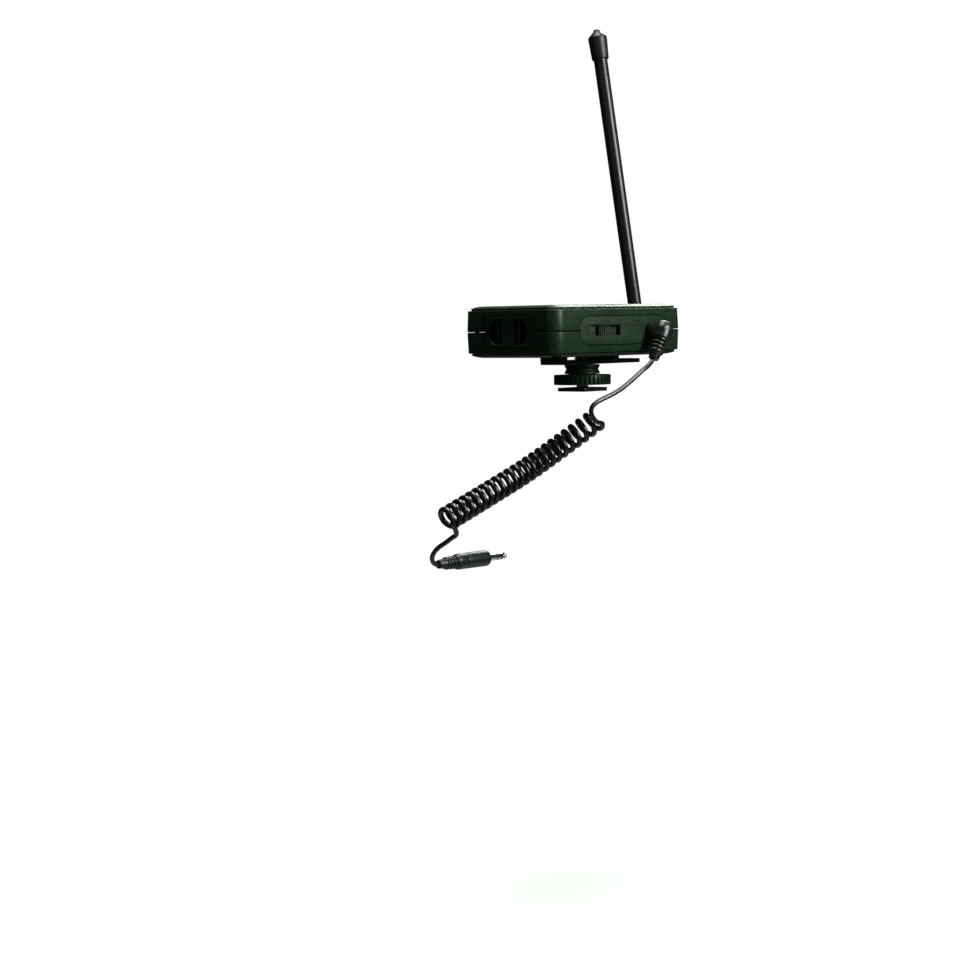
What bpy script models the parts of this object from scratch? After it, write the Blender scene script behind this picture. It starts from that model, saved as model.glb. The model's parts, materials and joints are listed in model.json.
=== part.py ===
"""Wireless microphone receiver on a camera-shoe adapter, with its antenna and curly audio cord.

Run with: blender --background --python part.py
Every length below is in millimetres and every angle in degrees; the helpers turn them into metres.
The origin is the middle of the shoe foot's underside. +Z is up, the antenna end of the case is +X,
and the face with the jack and the channel switch is -Y.
"""
import math

import bmesh
import bpy
from mathutils import Matrix, Vector

MM = 0.001
GAP = 0.3                     # clearance between neighbouring pieces

# ---- shoe adapter ----
FOOT_SIDE = 18.6
FOOT_THICKNESS = 2.0
RAIL_GAP = 1.4                # between the foot and the clamp washer
WASHER_RADIUS = 10.0
WASHER_THICKNESS = 0.8
WHEEL_RADIUS = 15.0
WHEEL_RIBS = 38
WHEEL_TOP = 8.7
NECK_BOTTOM = 9.2
NECK_TOP = 14.0
NECK_RADIUS = 9.3
NECK_WAIST = 8.4
STUD_RADIUS = 3.15
STUD_TOP = 17.6
STUD_HEAD_RADIUS = 4.1

# ---- belt clip ----
CLIP_BOTTOM = 14.3
CLIP_THICKNESS = 2.2
CLIP_TIP_X = -23.4
CLIP_LIP_LENGTH = 2.4
CLIP_HALF_WIDTH = 9.0
CLIP_NARROW_HALF_WIDTH = 7.2
CLIP_PAD_X = 21.0
CLIP_END_X = 38.8
CLIP_PIN_X = 17.0
CLIP_PIN_Z = 16.3
CLIP_PIN_RADIUS = 1.0
CLIP_KNUCKLE_RADIUS = 1.95
BRACKET_X = (4.6, 19.7)
BRACKET_PLATE_END_X = 13.5
BRACKET_PLATE_Z = (16.8, 18.4)
BRACKET_SCREW_X = 9.0
BRACKET_SCREW_Y = (-4.8, 4.8)

# ---- case ----
CASE_X = (-57.3, 45.4)
CASE_HALF_WIDTH = 32.5
CASE_HALF_DEPTH = 13.3
CASE_CORNER = 7.5
SEAM_Z = 32.0
CASE_MID_X = sum(CASE_X) / 2.0
CASE_HALF_LENGTH = (CASE_X[1] - CASE_X[0]) / 2.0
SHELL_RINGS = (               # (height above the seam, inset from the widest outline)
    (0.10, 0.7), (0.50, 0.0), (11.0, 0.45), (11.1, 2.2), (11.5, 2.2), (11.7, 1.8), (12.1, 1.95),
    (12.9, 4.1), (CASE_HALF_DEPTH, 6.5),
)
CAVITY_RINGS = ((-1.0, 2.2), (9.4, 2.5), (10.3, 3.8), (11.2, 5.8))
SCREW_POSTS = ((-51.0, -27.2), (-51.0, 27.2), (38.2, -27.2), (38.2, 27.2))
POST_RADIUS = 3.2
SCREW_SHANK_RADIUS = 1.3
SCREW_HEAD_RADIUS = 2.5

# ---- jack side ----
PANEL_X = (-37.2, 31.5)
PANEL_HALF_HEIGHT = 7.25
PANEL_CORNER = 6.6
PANEL_GAP = 0.35
PANEL_FACE_Y = -32.2
PANEL_THICKNESS = 1.2
WINDOW_MID_X = -18.3
WINDOW_HALF_LENGTH = 11.9
WINDOW_HALF_HEIGHT = 2.6
CHANNEL_PITCH = 6.1
KNOB_X = WINDOW_MID_X - CHANNEL_PITCH / 2.0
KNOB_HALF_LENGTH = 2.45
SLIDER_HALF_LENGTH = 9.0
JACK_X = 18.9
JACK_Z = 31.0
JACK_COLLAR_RADIUS = 3.2
JACK_BORE_RADIUS = 2.05

# ---- battery end ----
TRAY_Y = 0.0
TRAY_X = (CASE_X[0] + 0.2, 3.4)
TRAY_HALF_WIDTH = 15.9
TRAY_HALF_HEIGHT = 7.85
TRAY_BLOCK_END_X = TRAY_X[0] + 8.2
TRAY_WALL = 1.1
RECESS_NEAR = 4.55
RECESS_RADIUS = 6.65
RECESS_STRAIGHT = 2.3
RECESS_FLOOR_X = TRAY_X[0] + 5.0
LATCH_TAB = (6.4, 7.9)        # distances from the middle of the tray
LATCH_AXIS_X = TRAY_X[0] + 2.75
LATCH_ARM_X = (TRAY_X[0] + 4.6, TRAY_X[0] + 6.9)
LATCH_ARM_HALF_HEIGHT = 2.0
BAY_X = (CASE_X[0] + 2.5, 8.6)
BAY_HALF_WIDTH = 17.4
BAY_HALF_HEIGHT = 9.4
CELL_RADIUS = 7.1
CELL_X = (-48.0, 2.5)
CELL_SPACING = 7.4

# ---- antenna ----
ANTENNA_Y = 14.1
BUSHING_RADIUS = 3.2
LENS_Y = (1.6, 6.1)
LENS_RADIUS = 1.5
ANTENNA_PIVOT_X = CASE_X[1] + 18.0
ANTENNA_LEAN = 9.4
ANTENNA_TIP = 168.6
SLEEVE_RADIUS = 3.8
SLEEVE_START = 10.9
CAP_LENGTH = 12.4
CAP_CONE = 4.5
CAP_RADII = (4.7, 5.3)        # at its open end and at its shoulder

# ---- cord ----
WIRE_RADIUS = 1.2
COIL_RADIUS = 6.35
PLUG_LEAN = 28.8
PLUG_BODY_RADIUS = 4.6        # of the leaning half, and below of the half that points into the jack
PLUG_NECK_RADIUS = 5.1
PLUG_FACE_Y = -32.8
PLUG_CORD_Y = -39.5
PLUG_RELIEF = (4.5, 16.4)     # along the leaning half, from the jack's axis
LEAD_ROUTE = (
    (10.6, -39.5, 16.4), (8.8, -39.6, 14.8), (6.0, -39.7, 13.0), (2.1, -39.5, 11.0), (-2.1, -38.9, 8.2),
    (-6.8, -38.3, 5.3), (-12.0, -37.6, 2.3), (-17.8, -36.7, -0.3), (-23.2, -35.5, -2.3), (-27.5, -34.5, -4.0),
    (-30.4, -33.6, -6.1), (-31.4, -33.2, -8.9), (-30.0, -33.7, -11.9), (-27.1, -34.7, -14.0),
    (-22.7, -35.2, -14.8),
)
COIL_ROUTE = (
    (-18.9, -27.8, -12.5), (-37.8, -19.6, -25.4), (-59.5, -13.9, -37.6), (-83.9, -10.8, -47.9),
    (-110.8, -10.6, -57.3),
)
TAIL_ROUTE = (
    (-108.9, -17.6, -61.7), (-109.4, -15.9, -63.8), (-109.8, -13.2, -65.7), (-110.2, -10.2, -67.9),
    (-110.8, -6.3, -70.5), (-111.3, -2.1, -73.0), (-111.3, 1.1, -75.7), (-110.7, 3.1, -78.2),
    (-109.5, 4.0, -80.4), (-107.7, 4.3, -81.9), (-105.7, 4.4, -82.3),
)
FAR_PLUG_X = (-105.4, -93.4, -70.7, -56.3)     # relief end, barrel start, shoulder, tip
FAR_PLUG_Y = 4.4
FAR_PLUG_Z = -82.3
FAR_BARREL_RADIUS = 4.0
FAR_RELIEF_RADIUS = 3.4

# colour, roughness, metallic
FINISHES = {
    "case_plastic": ((0.022, 0.028, 0.024), 0.38, 0.0),
    "panel_plastic": ((0.030, 0.038, 0.033), 0.50, 0.0),
    "knob_plastic": ((0.055, 0.065, 0.058), 0.55, 0.0),
    "rubber": ((0.015, 0.018, 0.016), 0.60, 0.0),
    "chrome": ((0.75, 0.76, 0.74), 0.15, 1.0),
    "steel": ((0.45, 0.46, 0.45), 0.35, 1.0),
    "black_metal": ((0.020, 0.022, 0.020), 0.42, 0.6),
    "brass": ((0.75, 0.58, 0.28), 0.30, 1.0),
    "circuit_board": ((0.02, 0.16, 0.07), 0.50, 0.0),
    "battery_sleeve": ((0.10, 0.12, 0.13), 0.35, 0.0),
    "clear_lens": ((0.55, 0.08, 0.05), 0.15, 0.0),
}


# ---------------------------------------------------------------- helpers
def metres(point):
    return Vector(point) * MM


def clear_scene():
    for item in list(bpy.data.objects):
        bpy.data.objects.remove(item, do_unlink=True)


def make_collection(name):
    collection = bpy.data.collections.new(name)
    bpy.context.scene.collection.children.link(collection)
    return collection


def make_material(name):
    colour, roughness, metallic = FINISHES[name]
    material = bpy.data.materials.new(name)
    material.use_nodes = True
    shader = material.node_tree.nodes["Principled BSDF"]
    shader.inputs["Base Color"].default_value = (*colour, 1.0)
    shader.inputs["Roughness"].default_value = roughness
    shader.inputs["Metallic"].default_value = metallic
    return material


clear_scene()
PARTS = make_collection("wireless_receiver")
CUTTERS = make_collection("cutters")
MATERIALS = {name: make_material(name) for name in FINISHES}


def finish_object(name, data, finish, parent=None):
    """Link an object to the parts, or to the cutters when it has no finish."""
    item = bpy.data.objects.new(name, data)
    if finish:
        PARTS.objects.link(item)
        data.materials.append(MATERIALS[finish])
    else:
        CUTTERS.objects.link(item)
        item.hide_render = True
        item.display_type = "WIRE"
    item.parent = parent
    return item


def mesh_object(name, build, finish, parent=None):
    mesh = bpy.data.meshes.new(name)
    sketch = bmesh.new()
    build(sketch)
    bmesh.ops.recalc_face_normals(sketch, faces=sketch.faces)
    sketch.to_mesh(mesh)
    sketch.free()
    return finish_object(name, mesh, finish, parent)


def box(name, low, high, finish=None, parent=None, bevel=0.0, segments=2, edges="all"):
    """Cube primitive between two corners; edges is all, or the axis that the bevelled edges follow."""
    low, high = metres(low), metres(high)
    size = high - low

    def build(sketch):
        bmesh.ops.create_cube(sketch, size=1.0)
        bmesh.ops.scale(sketch, vec=size, verts=sketch.verts)
        if bevel:
            chosen = sketch.edges[:]
            if edges != "all":
                along = "XYZ".index(edges)
                chosen = [e for e in chosen if abs((e.verts[0].co - e.verts[1].co)[along]) > size[along] / 2]
            bmesh.ops.bevel(sketch, geom=chosen, offset=bevel * MM, segments=segments, affect="EDGES",
                            profile=0.5)

    item = mesh_object(name, build, finish, parent)
    item.location = (low + high) / 2
    return item


def aim(item, start, end):
    """Put an item that was made along Z between two points."""
    direction = Vector(end) - Vector(start)
    item.rotation_mode = "QUATERNION"
    item.rotation_quaternion = Vector((0, 0, 1)).rotation_difference(direction)


def cylinder(name, start, end, radius, finish=None, parent=None, sides=24):
    depth = (Vector(end) - Vector(start)).length * MM

    def build(sketch):
        bmesh.ops.create_cone(sketch, cap_ends=True, segments=sides, radius1=radius * MM, radius2=radius * MM,
                              depth=depth)

    item = mesh_object(name, build, finish, parent)
    item.location = (metres(start) + metres(end)) / 2
    aim(item, start, end)
    smooth(item)
    return item


def smooth(item):
    item.data.shade_smooth()
    item.data.set_sharp_from_angle(angle=math.radians(35))


def turned(name, profile, origin, towards, finish=None, parent=None, sides=24, ring=False):
    """Turn (radius, height) points, listed down the outer side, about the line from origin to towards."""
    def build(sketch):
        points = [sketch.verts.new((r * MM, 0.0, h * MM)) for r, h in profile]
        pairs = list(zip(points, points[1:]))
        if ring:
            pairs.append((points[-1], points[0]))
        for first, second in pairs:
            sketch.edges.new((first, second))

    item = mesh_object(name, build, finish, parent)
    screw = item.modifiers.new("turn", "SCREW")
    screw.steps = sides
    screw.render_steps = sides
    screw.use_merge_vertices = True
    screw.merge_threshold = 0.00001
    screw.use_smooth_shade = True
    item.location = metres(origin)
    aim(item, origin, towards)
    return item


def from_curve(name, curve, finish, parent=None):
    """Turn a curve into a welded mesh object."""
    source = bpy.data.objects.new(name + "_outline", curve)
    CUTTERS.objects.link(source)
    bpy.context.view_layer.update()
    evaluated = source.evaluated_get(bpy.context.evaluated_depsgraph_get())
    mesh = bpy.data.meshes.new_from_object(evaluated)
    bpy.data.objects.remove(source, do_unlink=True)
    mesh.name = name
    mesh.materials.clear()
    sketch = bmesh.new()
    sketch.from_mesh(mesh)
    bmesh.ops.remove_doubles(sketch, verts=sketch.verts, dist=0.000001)
    bmesh.ops.recalc_face_normals(sketch, faces=sketch.faces)
    sketch.to_mesh(mesh)
    sketch.free()
    return finish_object(name, mesh, finish, parent)


def plate(name, outline, thickness, finish=None, parent=None):
    """Extrude a flat outline in its own XY plane, half the thickness each way."""
    curve = bpy.data.curves.new(name, "CURVE")
    curve.dimensions = "2D"
    curve.fill_mode = "BOTH"
    curve.extrude = thickness * MM / 2
    spline = curve.splines.new("POLY")
    spline.points.add(len(outline) - 1)
    for point, (x, y) in zip(spline.points, outline):
        point.co = (x * MM, y * MM, 0.0, 1.0)
    spline.use_cyclic_u = True
    return from_curve(name, curve, finish, parent)


def tube(name, points, radius, finish, resolution=2, parent=None):
    """Round rod along points in millimetres, with welded caps."""
    curve = bpy.data.curves.new(name, "CURVE")
    curve.dimensions = "3D"
    curve.bevel_depth = radius * MM
    curve.bevel_resolution = resolution
    curve.use_fill_caps = True
    spline = curve.splines.new("POLY")
    spline.points.add(len(points) - 1)
    for point, place in zip(spline.points, points):
        point.co = (*metres(place), 1.0)
    return from_curve(name, curve, finish, parent)


def boolean(target, tools, operation):
    for tool in tools:
        step = target.modifiers.new(operation.lower(), "BOOLEAN")
        step.operation = operation
        step.solver = "EXACT"
        step.object = tool
    return target


def cut(target, *tools):
    return boolean(target, tools, "DIFFERENCE")


def fuse(target, *tools):
    return boolean(target, tools, "UNION")


def arc(centre, radius, first, last, steps):
    """Points on a circle, from one angle to another in degrees."""
    angles = [math.radians(first + (last - first) * i / steps) for i in range(steps + 1)]
    return [(centre[0] + radius * math.cos(a), centre[1] + radius * math.sin(a)) for a in angles]


def rounded_rectangle(half_x, half_y, radius, steps=6):
    outline = []
    for quarter, (sx, sy) in enumerate(((1, 1), (-1, 1), (-1, -1), (1, -1))):
        centre = (sx * (half_x - radius), sy * (half_y - radius))
        outline += arc(centre, radius, quarter * 90, quarter * 90 + 90, steps)
    return outline


def smooth_route(points, steps):
    """Points on a Catmull-Rom curve through the route's own points."""
    route = [Vector(p) for p in points]
    ends = [2 * route[0] - route[1]] + route + [2 * route[-1] - route[-2]]
    places = []
    for a, b, c, d in zip(ends, ends[1:], ends[2:], ends[3:]):
        for i in range(steps):
            t = i / steps
            places.append(0.5 * (2 * b + (c - a) * t + (2 * a - 5 * b + 4 * c - d) * t * t
                                 + (3 * b - a - 3 * c + d) * t ** 3))
    return places + [route[-1]]


def coil_points(start, end, radius, turns, steps):
    """Helix along the straight line between two points."""
    start, end = Vector(start), Vector(end)
    along = (end - start).normalized()
    side = along.orthogonal().normalized()
    other = along.cross(side)
    count = int(turns * steps)
    places = []
    for i in range(count + 1):
        angle = 2 * math.pi * i / steps
        turn = math.cos(angle) * side + math.sin(angle) * other
        places.append(start + (end - start) * i / count + radius * turn)
    return places


def joint_empty(name, place, lean=0.0, parent=None):
    """Marker on a joint's axis, which the moving pieces are parented to."""
    marker = bpy.data.objects.new(name, None)
    PARTS.objects.link(marker)
    marker.location = metres(place)
    marker.rotation_euler = (math.radians(-lean), 0.0, 0.0)
    marker.parent = parent
    return marker


def carry(marker, *items):
    """Parent pieces to a marker and leave them where they are."""
    for item in items:
        item.parent = marker
        item.matrix_parent_inverse = Matrix.Translation(-marker.location)


def loft(name, loops, finish=None):
    """Closed body through outlines that all have the same number of points."""
    def build(sketch):
        rows = [[sketch.verts.new(metres(place)) for place in loop] for loop in loops]
        for lower, upper in zip(rows, rows[1:]):
            for i in range(len(lower)):
                j = (i + 1) % len(lower)
                sketch.faces.new((lower[i], lower[j], upper[j], upper[i]))
        sketch.faces.new(rows[0][::-1])
        sketch.faces.new(rows[-1])

    return mesh_object(name, build, finish)


# ---------------------------------------------------------------- case
def case_loft(name, rings, side, finish=None):
    """Body through rounded rectangles; side is 1 for the front half and -1 for the rear half."""
    loops = []
    for height, inset in rings:
        outline = rounded_rectangle(CASE_HALF_LENGTH - inset, CASE_HALF_WIDTH - inset,
                                    max(CASE_CORNER - inset, 1.0))
        loops.append([(CASE_MID_X + x, y, SEAM_Z + side * height) for x, y in outline])
    return loft(name, loops, finish)


def panel_outline(margin=0.0):
    half_length = (PANEL_X[1] - PANEL_X[0]) / 2
    return rounded_rectangle(half_length + margin, PANEL_HALF_HEIGHT + margin, PANEL_CORNER + margin)


def post(name, place, side):
    x, y = place
    return cylinder(name, (x, y, SEAM_Z + side * 0.15), (x, y, SEAM_Z + side * 11.6), POST_RADIUS, sides=16)


def shell_windows(name):
    """Cutters for the openings that both halves of the case share."""
    mouth_y = TRAY_HALF_WIDTH + GAP
    mouth_z = TRAY_HALF_HEIGHT + GAP
    mouth = box(name + "_mouth", (CASE_X[0] - 2, TRAY_Y - mouth_y, SEAM_Z - mouth_z),
                (CASE_X[0] + 4, TRAY_Y + mouth_y, SEAM_Z + mouth_z))
    panel = plate(name + "_panel", panel_outline(PANEL_GAP), 5.0)
    panel.location = metres((sum(PANEL_X) / 2, -31.0, SEAM_Z))
    panel.rotation_euler = (math.pi / 2, 0.0, 0.0)
    end_x = (CASE_X[1] - 5, CASE_X[1] + 3)
    bushing = cylinder(name + "_bushing", (end_x[0], ANTENNA_Y, SEAM_Z), (end_x[1], ANTENNA_Y, SEAM_Z),
                       BUSHING_RADIUS + GAP)
    switch = box(name + "_switch", (end_x[0], -12.4, SEAM_Z - 1.7), (end_x[1], -3.6, SEAM_Z + 1.7))
    lenses = [cylinder(f"{name}_lens_{y}", (end_x[0], y, SEAM_Z), (end_x[1], y, SEAM_Z), LENS_RADIUS + GAP,
                       sides=16) for y in LENS_Y]
    return [mouth, panel, bushing, switch] + lenses


def make_front_shell():
    shell = case_loft("front_shell", SHELL_RINGS, 1, "case_plastic")
    cut(shell, case_loft("front_cavity", CAVITY_RINGS, 1))
    for i, place in enumerate(SCREW_POSTS):
        fuse(shell, post(f"front_post_{i}", place, 1))
        hole = cylinder(f"front_pilot_{i}", (*place, SEAM_Z - 1), (*place, SEAM_Z + 9),
                        SCREW_SHANK_RADIUS + GAP, sides=12)
        cut(shell, hole)
    return cut(shell, *shell_windows("front"))


def make_rear_shell():
    shell = case_loft("rear_shell", SHELL_RINGS, -1, "case_plastic")
    cut(shell, case_loft("rear_cavity", CAVITY_RINGS, -1))
    bottom = SEAM_Z - CASE_HALF_DEPTH
    for i, place in enumerate(SCREW_POSTS):
        fuse(shell, post(f"rear_post_{i}", place, -1))
        hole = cylinder(f"rear_hole_{i}", (*place, bottom - 1), (*place, SEAM_Z + 1),
                        SCREW_SHANK_RADIUS + GAP, sides=12)
        sink = cylinder(f"rear_sink_{i}", (*place, bottom - 1), (*place, bottom + 3.2),
                        SCREW_HEAD_RADIUS + GAP, sides=16)
        cut(shell, hole, sink)
    for i, y in enumerate(BRACKET_SCREW_Y):
        cut(shell, cylinder(f"bracket_pilot_{i}", (BRACKET_SCREW_X, y, bottom - 1),
                            (BRACKET_SCREW_X, y, bottom + 4), 1.3, sides=12))
    return cut(shell, *shell_windows("rear"))


def make_case_screws():
    bottom = SEAM_Z - CASE_HALF_DEPTH
    head = bottom + 1.2
    for i, (x, y) in enumerate(SCREW_POSTS):
        profile = ((0, 15.0), (0.9, 15.0), (SCREW_SHANK_RADIUS, 14.2), (SCREW_SHANK_RADIUS, 1.7),
                   (SCREW_HEAD_RADIUS, 1.7), (SCREW_HEAD_RADIUS, 0.5), (2.0, 0.0), (0, 0.0))
        screw = turned(f"case_screw_{i + 1}", profile, (x, y, head), (x, y, head + 5), "black_metal",
                       sides=16)
        for k, (dx, dy) in enumerate(((1.4, 0.3), (0.3, 1.4))):
            cut(screw, box(f"case_slot_{i}_{k}", (x - dx, y - dy, head - 1), (x + dx, y + dy, head + 0.8)))


# ---------------------------------------------------------------- jack side
def make_side_panel():
    panel = plate("side_panel", panel_outline(), PANEL_THICKNESS, "panel_plastic")
    middle = PANEL_FACE_Y + PANEL_THICKNESS / 2
    panel.location = metres((sum(PANEL_X) / 2, middle, SEAM_Z))
    panel.rotation_euler = (math.pi / 2, 0.0, 0.0)
    low, high = middle - 2, middle + 2
    window = box("channel_window", (WINDOW_MID_X - WINDOW_HALF_LENGTH, low, SEAM_Z - WINDOW_HALF_HEIGHT),
                 (WINDOW_MID_X + WINDOW_HALF_LENGTH, high, SEAM_Z + WINDOW_HALF_HEIGHT))
    hole = cylinder("jack_hole", (JACK_X, low, JACK_Z), (JACK_X, high, JACK_Z), JACK_COLLAR_RADIUS + GAP)
    return cut(panel, window, hole)


def make_channel_switch():
    """Ridged knob on a flange that slides behind the window, and the switch body behind it."""
    marker = joint_empty("channel_slide_axis", (KNOB_X, -30.3, SEAM_Z))
    slider = box("channel_slider", (KNOB_X - SLIDER_HALF_LENGTH, -30.7, SEAM_Z - 2.9),
                 (KNOB_X + SLIDER_HALF_LENGTH, -29.9, SEAM_Z + 2.9), "knob_plastic")
    knob = box("channel_knob", (KNOB_X - KNOB_HALF_LENGTH, -32.9, SEAM_Z - 2.3),
               (KNOB_X + KNOB_HALF_LENGTH, -30.3, SEAM_Z + 2.3))
    fuse(slider, knob)
    for i, dx in enumerate((-1.5, 0.0, 1.5)):
        cut(slider, box(f"channel_groove_{i}", (KNOB_X + dx - 0.35, -34, SEAM_Z - 3),
                        (KNOB_X + dx + 0.35, -32.3, SEAM_Z + 3)))
    carry(marker, slider)
    box("channel_switch_body", (-36.5, -29.6, SEAM_Z - 4), (0.5, -23.0, SEAM_Z + 4), "panel_plastic",
        bevel=0.5, segments=1)


def make_jack():
    jack = box("line_out_jack", (JACK_X - 5.5, -30.6, JACK_Z - 4.8), (JACK_X + 5.5, -16.0, JACK_Z + 4.8),
               "panel_plastic", bevel=0.5, segments=1)
    fuse(jack, cylinder("jack_collar", (JACK_X, -32.3, JACK_Z), (JACK_X, -29.0, JACK_Z), JACK_COLLAR_RADIUS))
    cut(jack, cylinder("jack_bore", (JACK_X, -34, JACK_Z), (JACK_X, -17.5, JACK_Z), JACK_BORE_RADIUS,
                       sides=16))


# ---------------------------------------------------------------- antenna end
def make_power_switch():
    end = CASE_X[1]
    marker = joint_empty("power_slide_axis", (end - 2.7, -10.0, SEAM_Z))
    slider = box("power_slider", (end - 3.0, -12.6, SEAM_Z - 2.6), (end - 2.4, -5.4, SEAM_Z + 2.6),
                 "knob_plastic")
    fuse(slider, box("power_knob", (end - 2.7, -11.8, SEAM_Z - 1.3), (end + 0.7, -8.2, SEAM_Z + 1.3),
                     bevel=0.2, segments=1))
    carry(marker, slider)
    box("power_switch_body", (end - 7.7, -13.0, SEAM_Z - 3.2), (end - 3.3, -1.0, SEAM_Z + 3.2),
        "panel_plastic", bevel=0.4, segments=1)
    for name, y in zip(("power_lens", "signal_lens"), LENS_Y):
        profile = ((0, 3.7), (0.8, 3.6), (LENS_RADIUS, 3.1), (LENS_RADIUS, 0.6), (2.1, 0.6), (2.1, 0.0),
                   (0, 0.0))
        turned(name, profile, (end - 3.3, y, SEAM_Z), (end, y, SEAM_Z), "clear_lens", sides=16)


def make_antenna_base():
    """Bushing and nut, which stay with the case."""
    end = CASE_X[1]
    towards = (end, ANTENNA_Y, SEAM_Z)
    profile = ((3.7, 8.6), (4.0, 8.3), (4.0, 5.9), (BUSHING_RADIUS, 5.9), (BUSHING_RADIUS, 0.0), (2.3, 0.0),
               (2.3, 8.6))
    turned("antenna_bushing", profile, (end - 5.6, ANTENNA_Y, SEAM_Z), towards, "black_metal", sides=24,
           ring=True)
    nut = ((5.2, 1.8), (5.2, 0.0), (4.1, 0.0), (4.1, 1.8))
    turned("bushing_nut", nut, (end - 4.6, ANTENNA_Y, SEAM_Z), towards, "brass", sides=6, ring=True)


def make_antenna():
    """Everything here is placed from the fold axis: X is the swivel axis and Z runs along the folded rod."""
    marker = joint_empty("antenna_pivot", (ANTENNA_PIVOT_X, ANTENNA_Y, SEAM_Z), ANTENNA_LEAN)
    profile = ((0, 2.7), (1.6, 2.5), (2.4, 1.6), (2.7, 0.0), (2.7, -3.6), (3.1, -4.0), (3.1, -11.6),
               (3.3, -11.8), (3.3, -14.6), (1.9, -14.6), (1.9, -22.0), (0, -22.0))
    fork = turned("swivel_fork", profile, (0, 0, 0), (1, 0, 0), "chrome", marker, sides=20)
    cut(fork, box("fork_slot", (-3.2, -1.1, -4), (4, 1.1, 4), parent=marker),
        cylinder("fork_pin_hole", (0, -4, 0), (0, 4, 0), 1.05, parent=marker, sides=12))
    cylinder("fold_pin", (0, -2.5, 0), (0, 2.5, 0), 0.75, "steel", marker, sides=12)
    knuckle = turned("antenna_knuckle", ((0, 10.6), (3.1, 10.6), (3.1, 6.3), (2.7, 5.9), (0, 5.9)), (0, 0, 0),
                     (0, 0, 1), "chrome", marker, sides=20)
    blade = box("knuckle_blade", (-2.5, -0.8, 0), (2.5, 0.8, 6.4), parent=marker)
    eye = cylinder("knuckle_eye", (0, -0.8, 0), (0, 0.8, 0), 2.5, parent=marker, sides=20)
    fuse(knuckle, blade, eye)
    cut(knuckle, cylinder("knuckle_pin_hole", (0, -2, 0), (0, 2, 0), 1.05, parent=marker, sides=12))
    shoulder = ANTENNA_TIP - CAP_CONE
    cap_end = shoulder - CAP_LENGTH
    sleeve_end = cap_end + 10.5
    profile = ((SLEEVE_RADIUS, sleeve_end), (SLEEVE_RADIUS, SLEEVE_START), (1.4, SLEEVE_START),
               (1.4, sleeve_end))
    turned("antenna_sleeve", profile, (0, 0, 0), (0, 0, 1), "rubber", marker, sides=20, ring=True)
    cylinder("antenna_whip", (0, 0, SLEEVE_START + GAP), (0, 0, sleeve_end - 1), 1.0, "steel", marker,
             sides=10)
    bore = SLEEVE_RADIUS + GAP
    profile = ((0, ANTENNA_TIP), (1.3, ANTENNA_TIP - 0.2), (1.8, ANTENNA_TIP - 0.7),
               (CAP_RADII[1] - 0.3, shoulder), (CAP_RADII[1], shoulder - 0.6), (CAP_RADII[0], cap_end),
               (bore, cap_end), (bore, sleeve_end + GAP), (0, sleeve_end + GAP))
    turned("antenna_cap", profile, (0, 0, 0), (0, 0, 1), "rubber", marker, sides=20)


# ---------------------------------------------------------------- electronics
def make_electronics():
    box("main_board", (13.5, -23.3, 22.4), (40.6, 23.3, 24.0), "circuit_board")
    box("rf_shield_can", (15.5, -12.0, 24.3), (36.0, 10.0, 29.0), "steel", bevel=0.5, segments=1)
    box("audio_chip", (22.0, 12.4, 24.3), (32.0, 20.4, 26.1), "panel_plastic", bevel=0.2, segments=1)
    box("contact_board", (9.4, TRAY_Y - 15.5, 24.6), (11.0, TRAY_Y + 15.5, 39.4), "circuit_board")
    for i, side in enumerate((-1, 1)):
        y = TRAY_Y + side * CELL_SPACING
        points = coil_points((CELL_X[1] + 0.7, y, SEAM_Z), (8.7, y, SEAM_Z), 2.6, 5, 10)
        tube(f"contact_spring_{i + 1}", points, 0.3, "steel", 1)


# ---------------------------------------------------------------- battery end
def recess_cutter(side):
    """D-shaped finger recess, flat towards the middle of the tray."""
    near = RECESS_NEAR + RECESS_STRAIGHT
    outline = [(RECESS_NEAR, -RECESS_RADIUS)] + arc((near, 0), RECESS_RADIUS, -90, 90, 14) + [
        (RECESS_NEAR, RECESS_RADIUS)]
    depth = RECESS_FLOOR_X - TRAY_X[0]
    cutter = plate(f"recess_{side}", outline, 2 * depth)
    turn = Matrix(((0, 0, 1), (side, 0, 0), (0, 1, 0))).to_4x4()
    cutter.data.transform(turn)
    if turn.determinant() < 0:
        cutter.data.flip_normals()
    cutter.location = metres((TRAY_X[0], TRAY_Y, SEAM_Z))
    return cutter


def make_battery_tray(marker):
    low, high = SEAM_Z - TRAY_HALF_HEIGHT, SEAM_Z + TRAY_HALF_HEIGHT
    tray = box("battery_tray", (TRAY_X[0], TRAY_Y - TRAY_HALF_WIDTH, low),
               (TRAY_X[1], TRAY_Y + TRAY_HALF_WIDTH, high), "case_plastic", bevel=0.8, edges="X")
    inner = TRAY_HALF_WIDTH - TRAY_WALL
    cut(tray, box("tray_trough", (TRAY_BLOCK_END_X, TRAY_Y - inner, low + 0.5),
                  (TRAY_X[1] + 2, TRAY_Y + inner, high + 2)))
    for side in (-1, 1):
        cut(tray, recess_cutter(side))
        reach = sorted((TRAY_Y + side * RECESS_NEAR, TRAY_Y + side * 19.0))
        slot = LATCH_ARM_HALF_HEIGHT + GAP
        cut(tray, box(f"latch_slot_{side}", (LATCH_ARM_X[0] - GAP, reach[0], SEAM_Z - slot),
                      (LATCH_ARM_X[1] + GAP, reach[1], SEAM_Z + slot)))
    cut(tray, cylinder("latch_tunnel", (LATCH_AXIS_X, TRAY_Y - 5.2, SEAM_Z),
                       (LATCH_AXIS_X, TRAY_Y + 5.2, SEAM_Z), 2.1, sides=16))
    carry(marker, tray)


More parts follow.
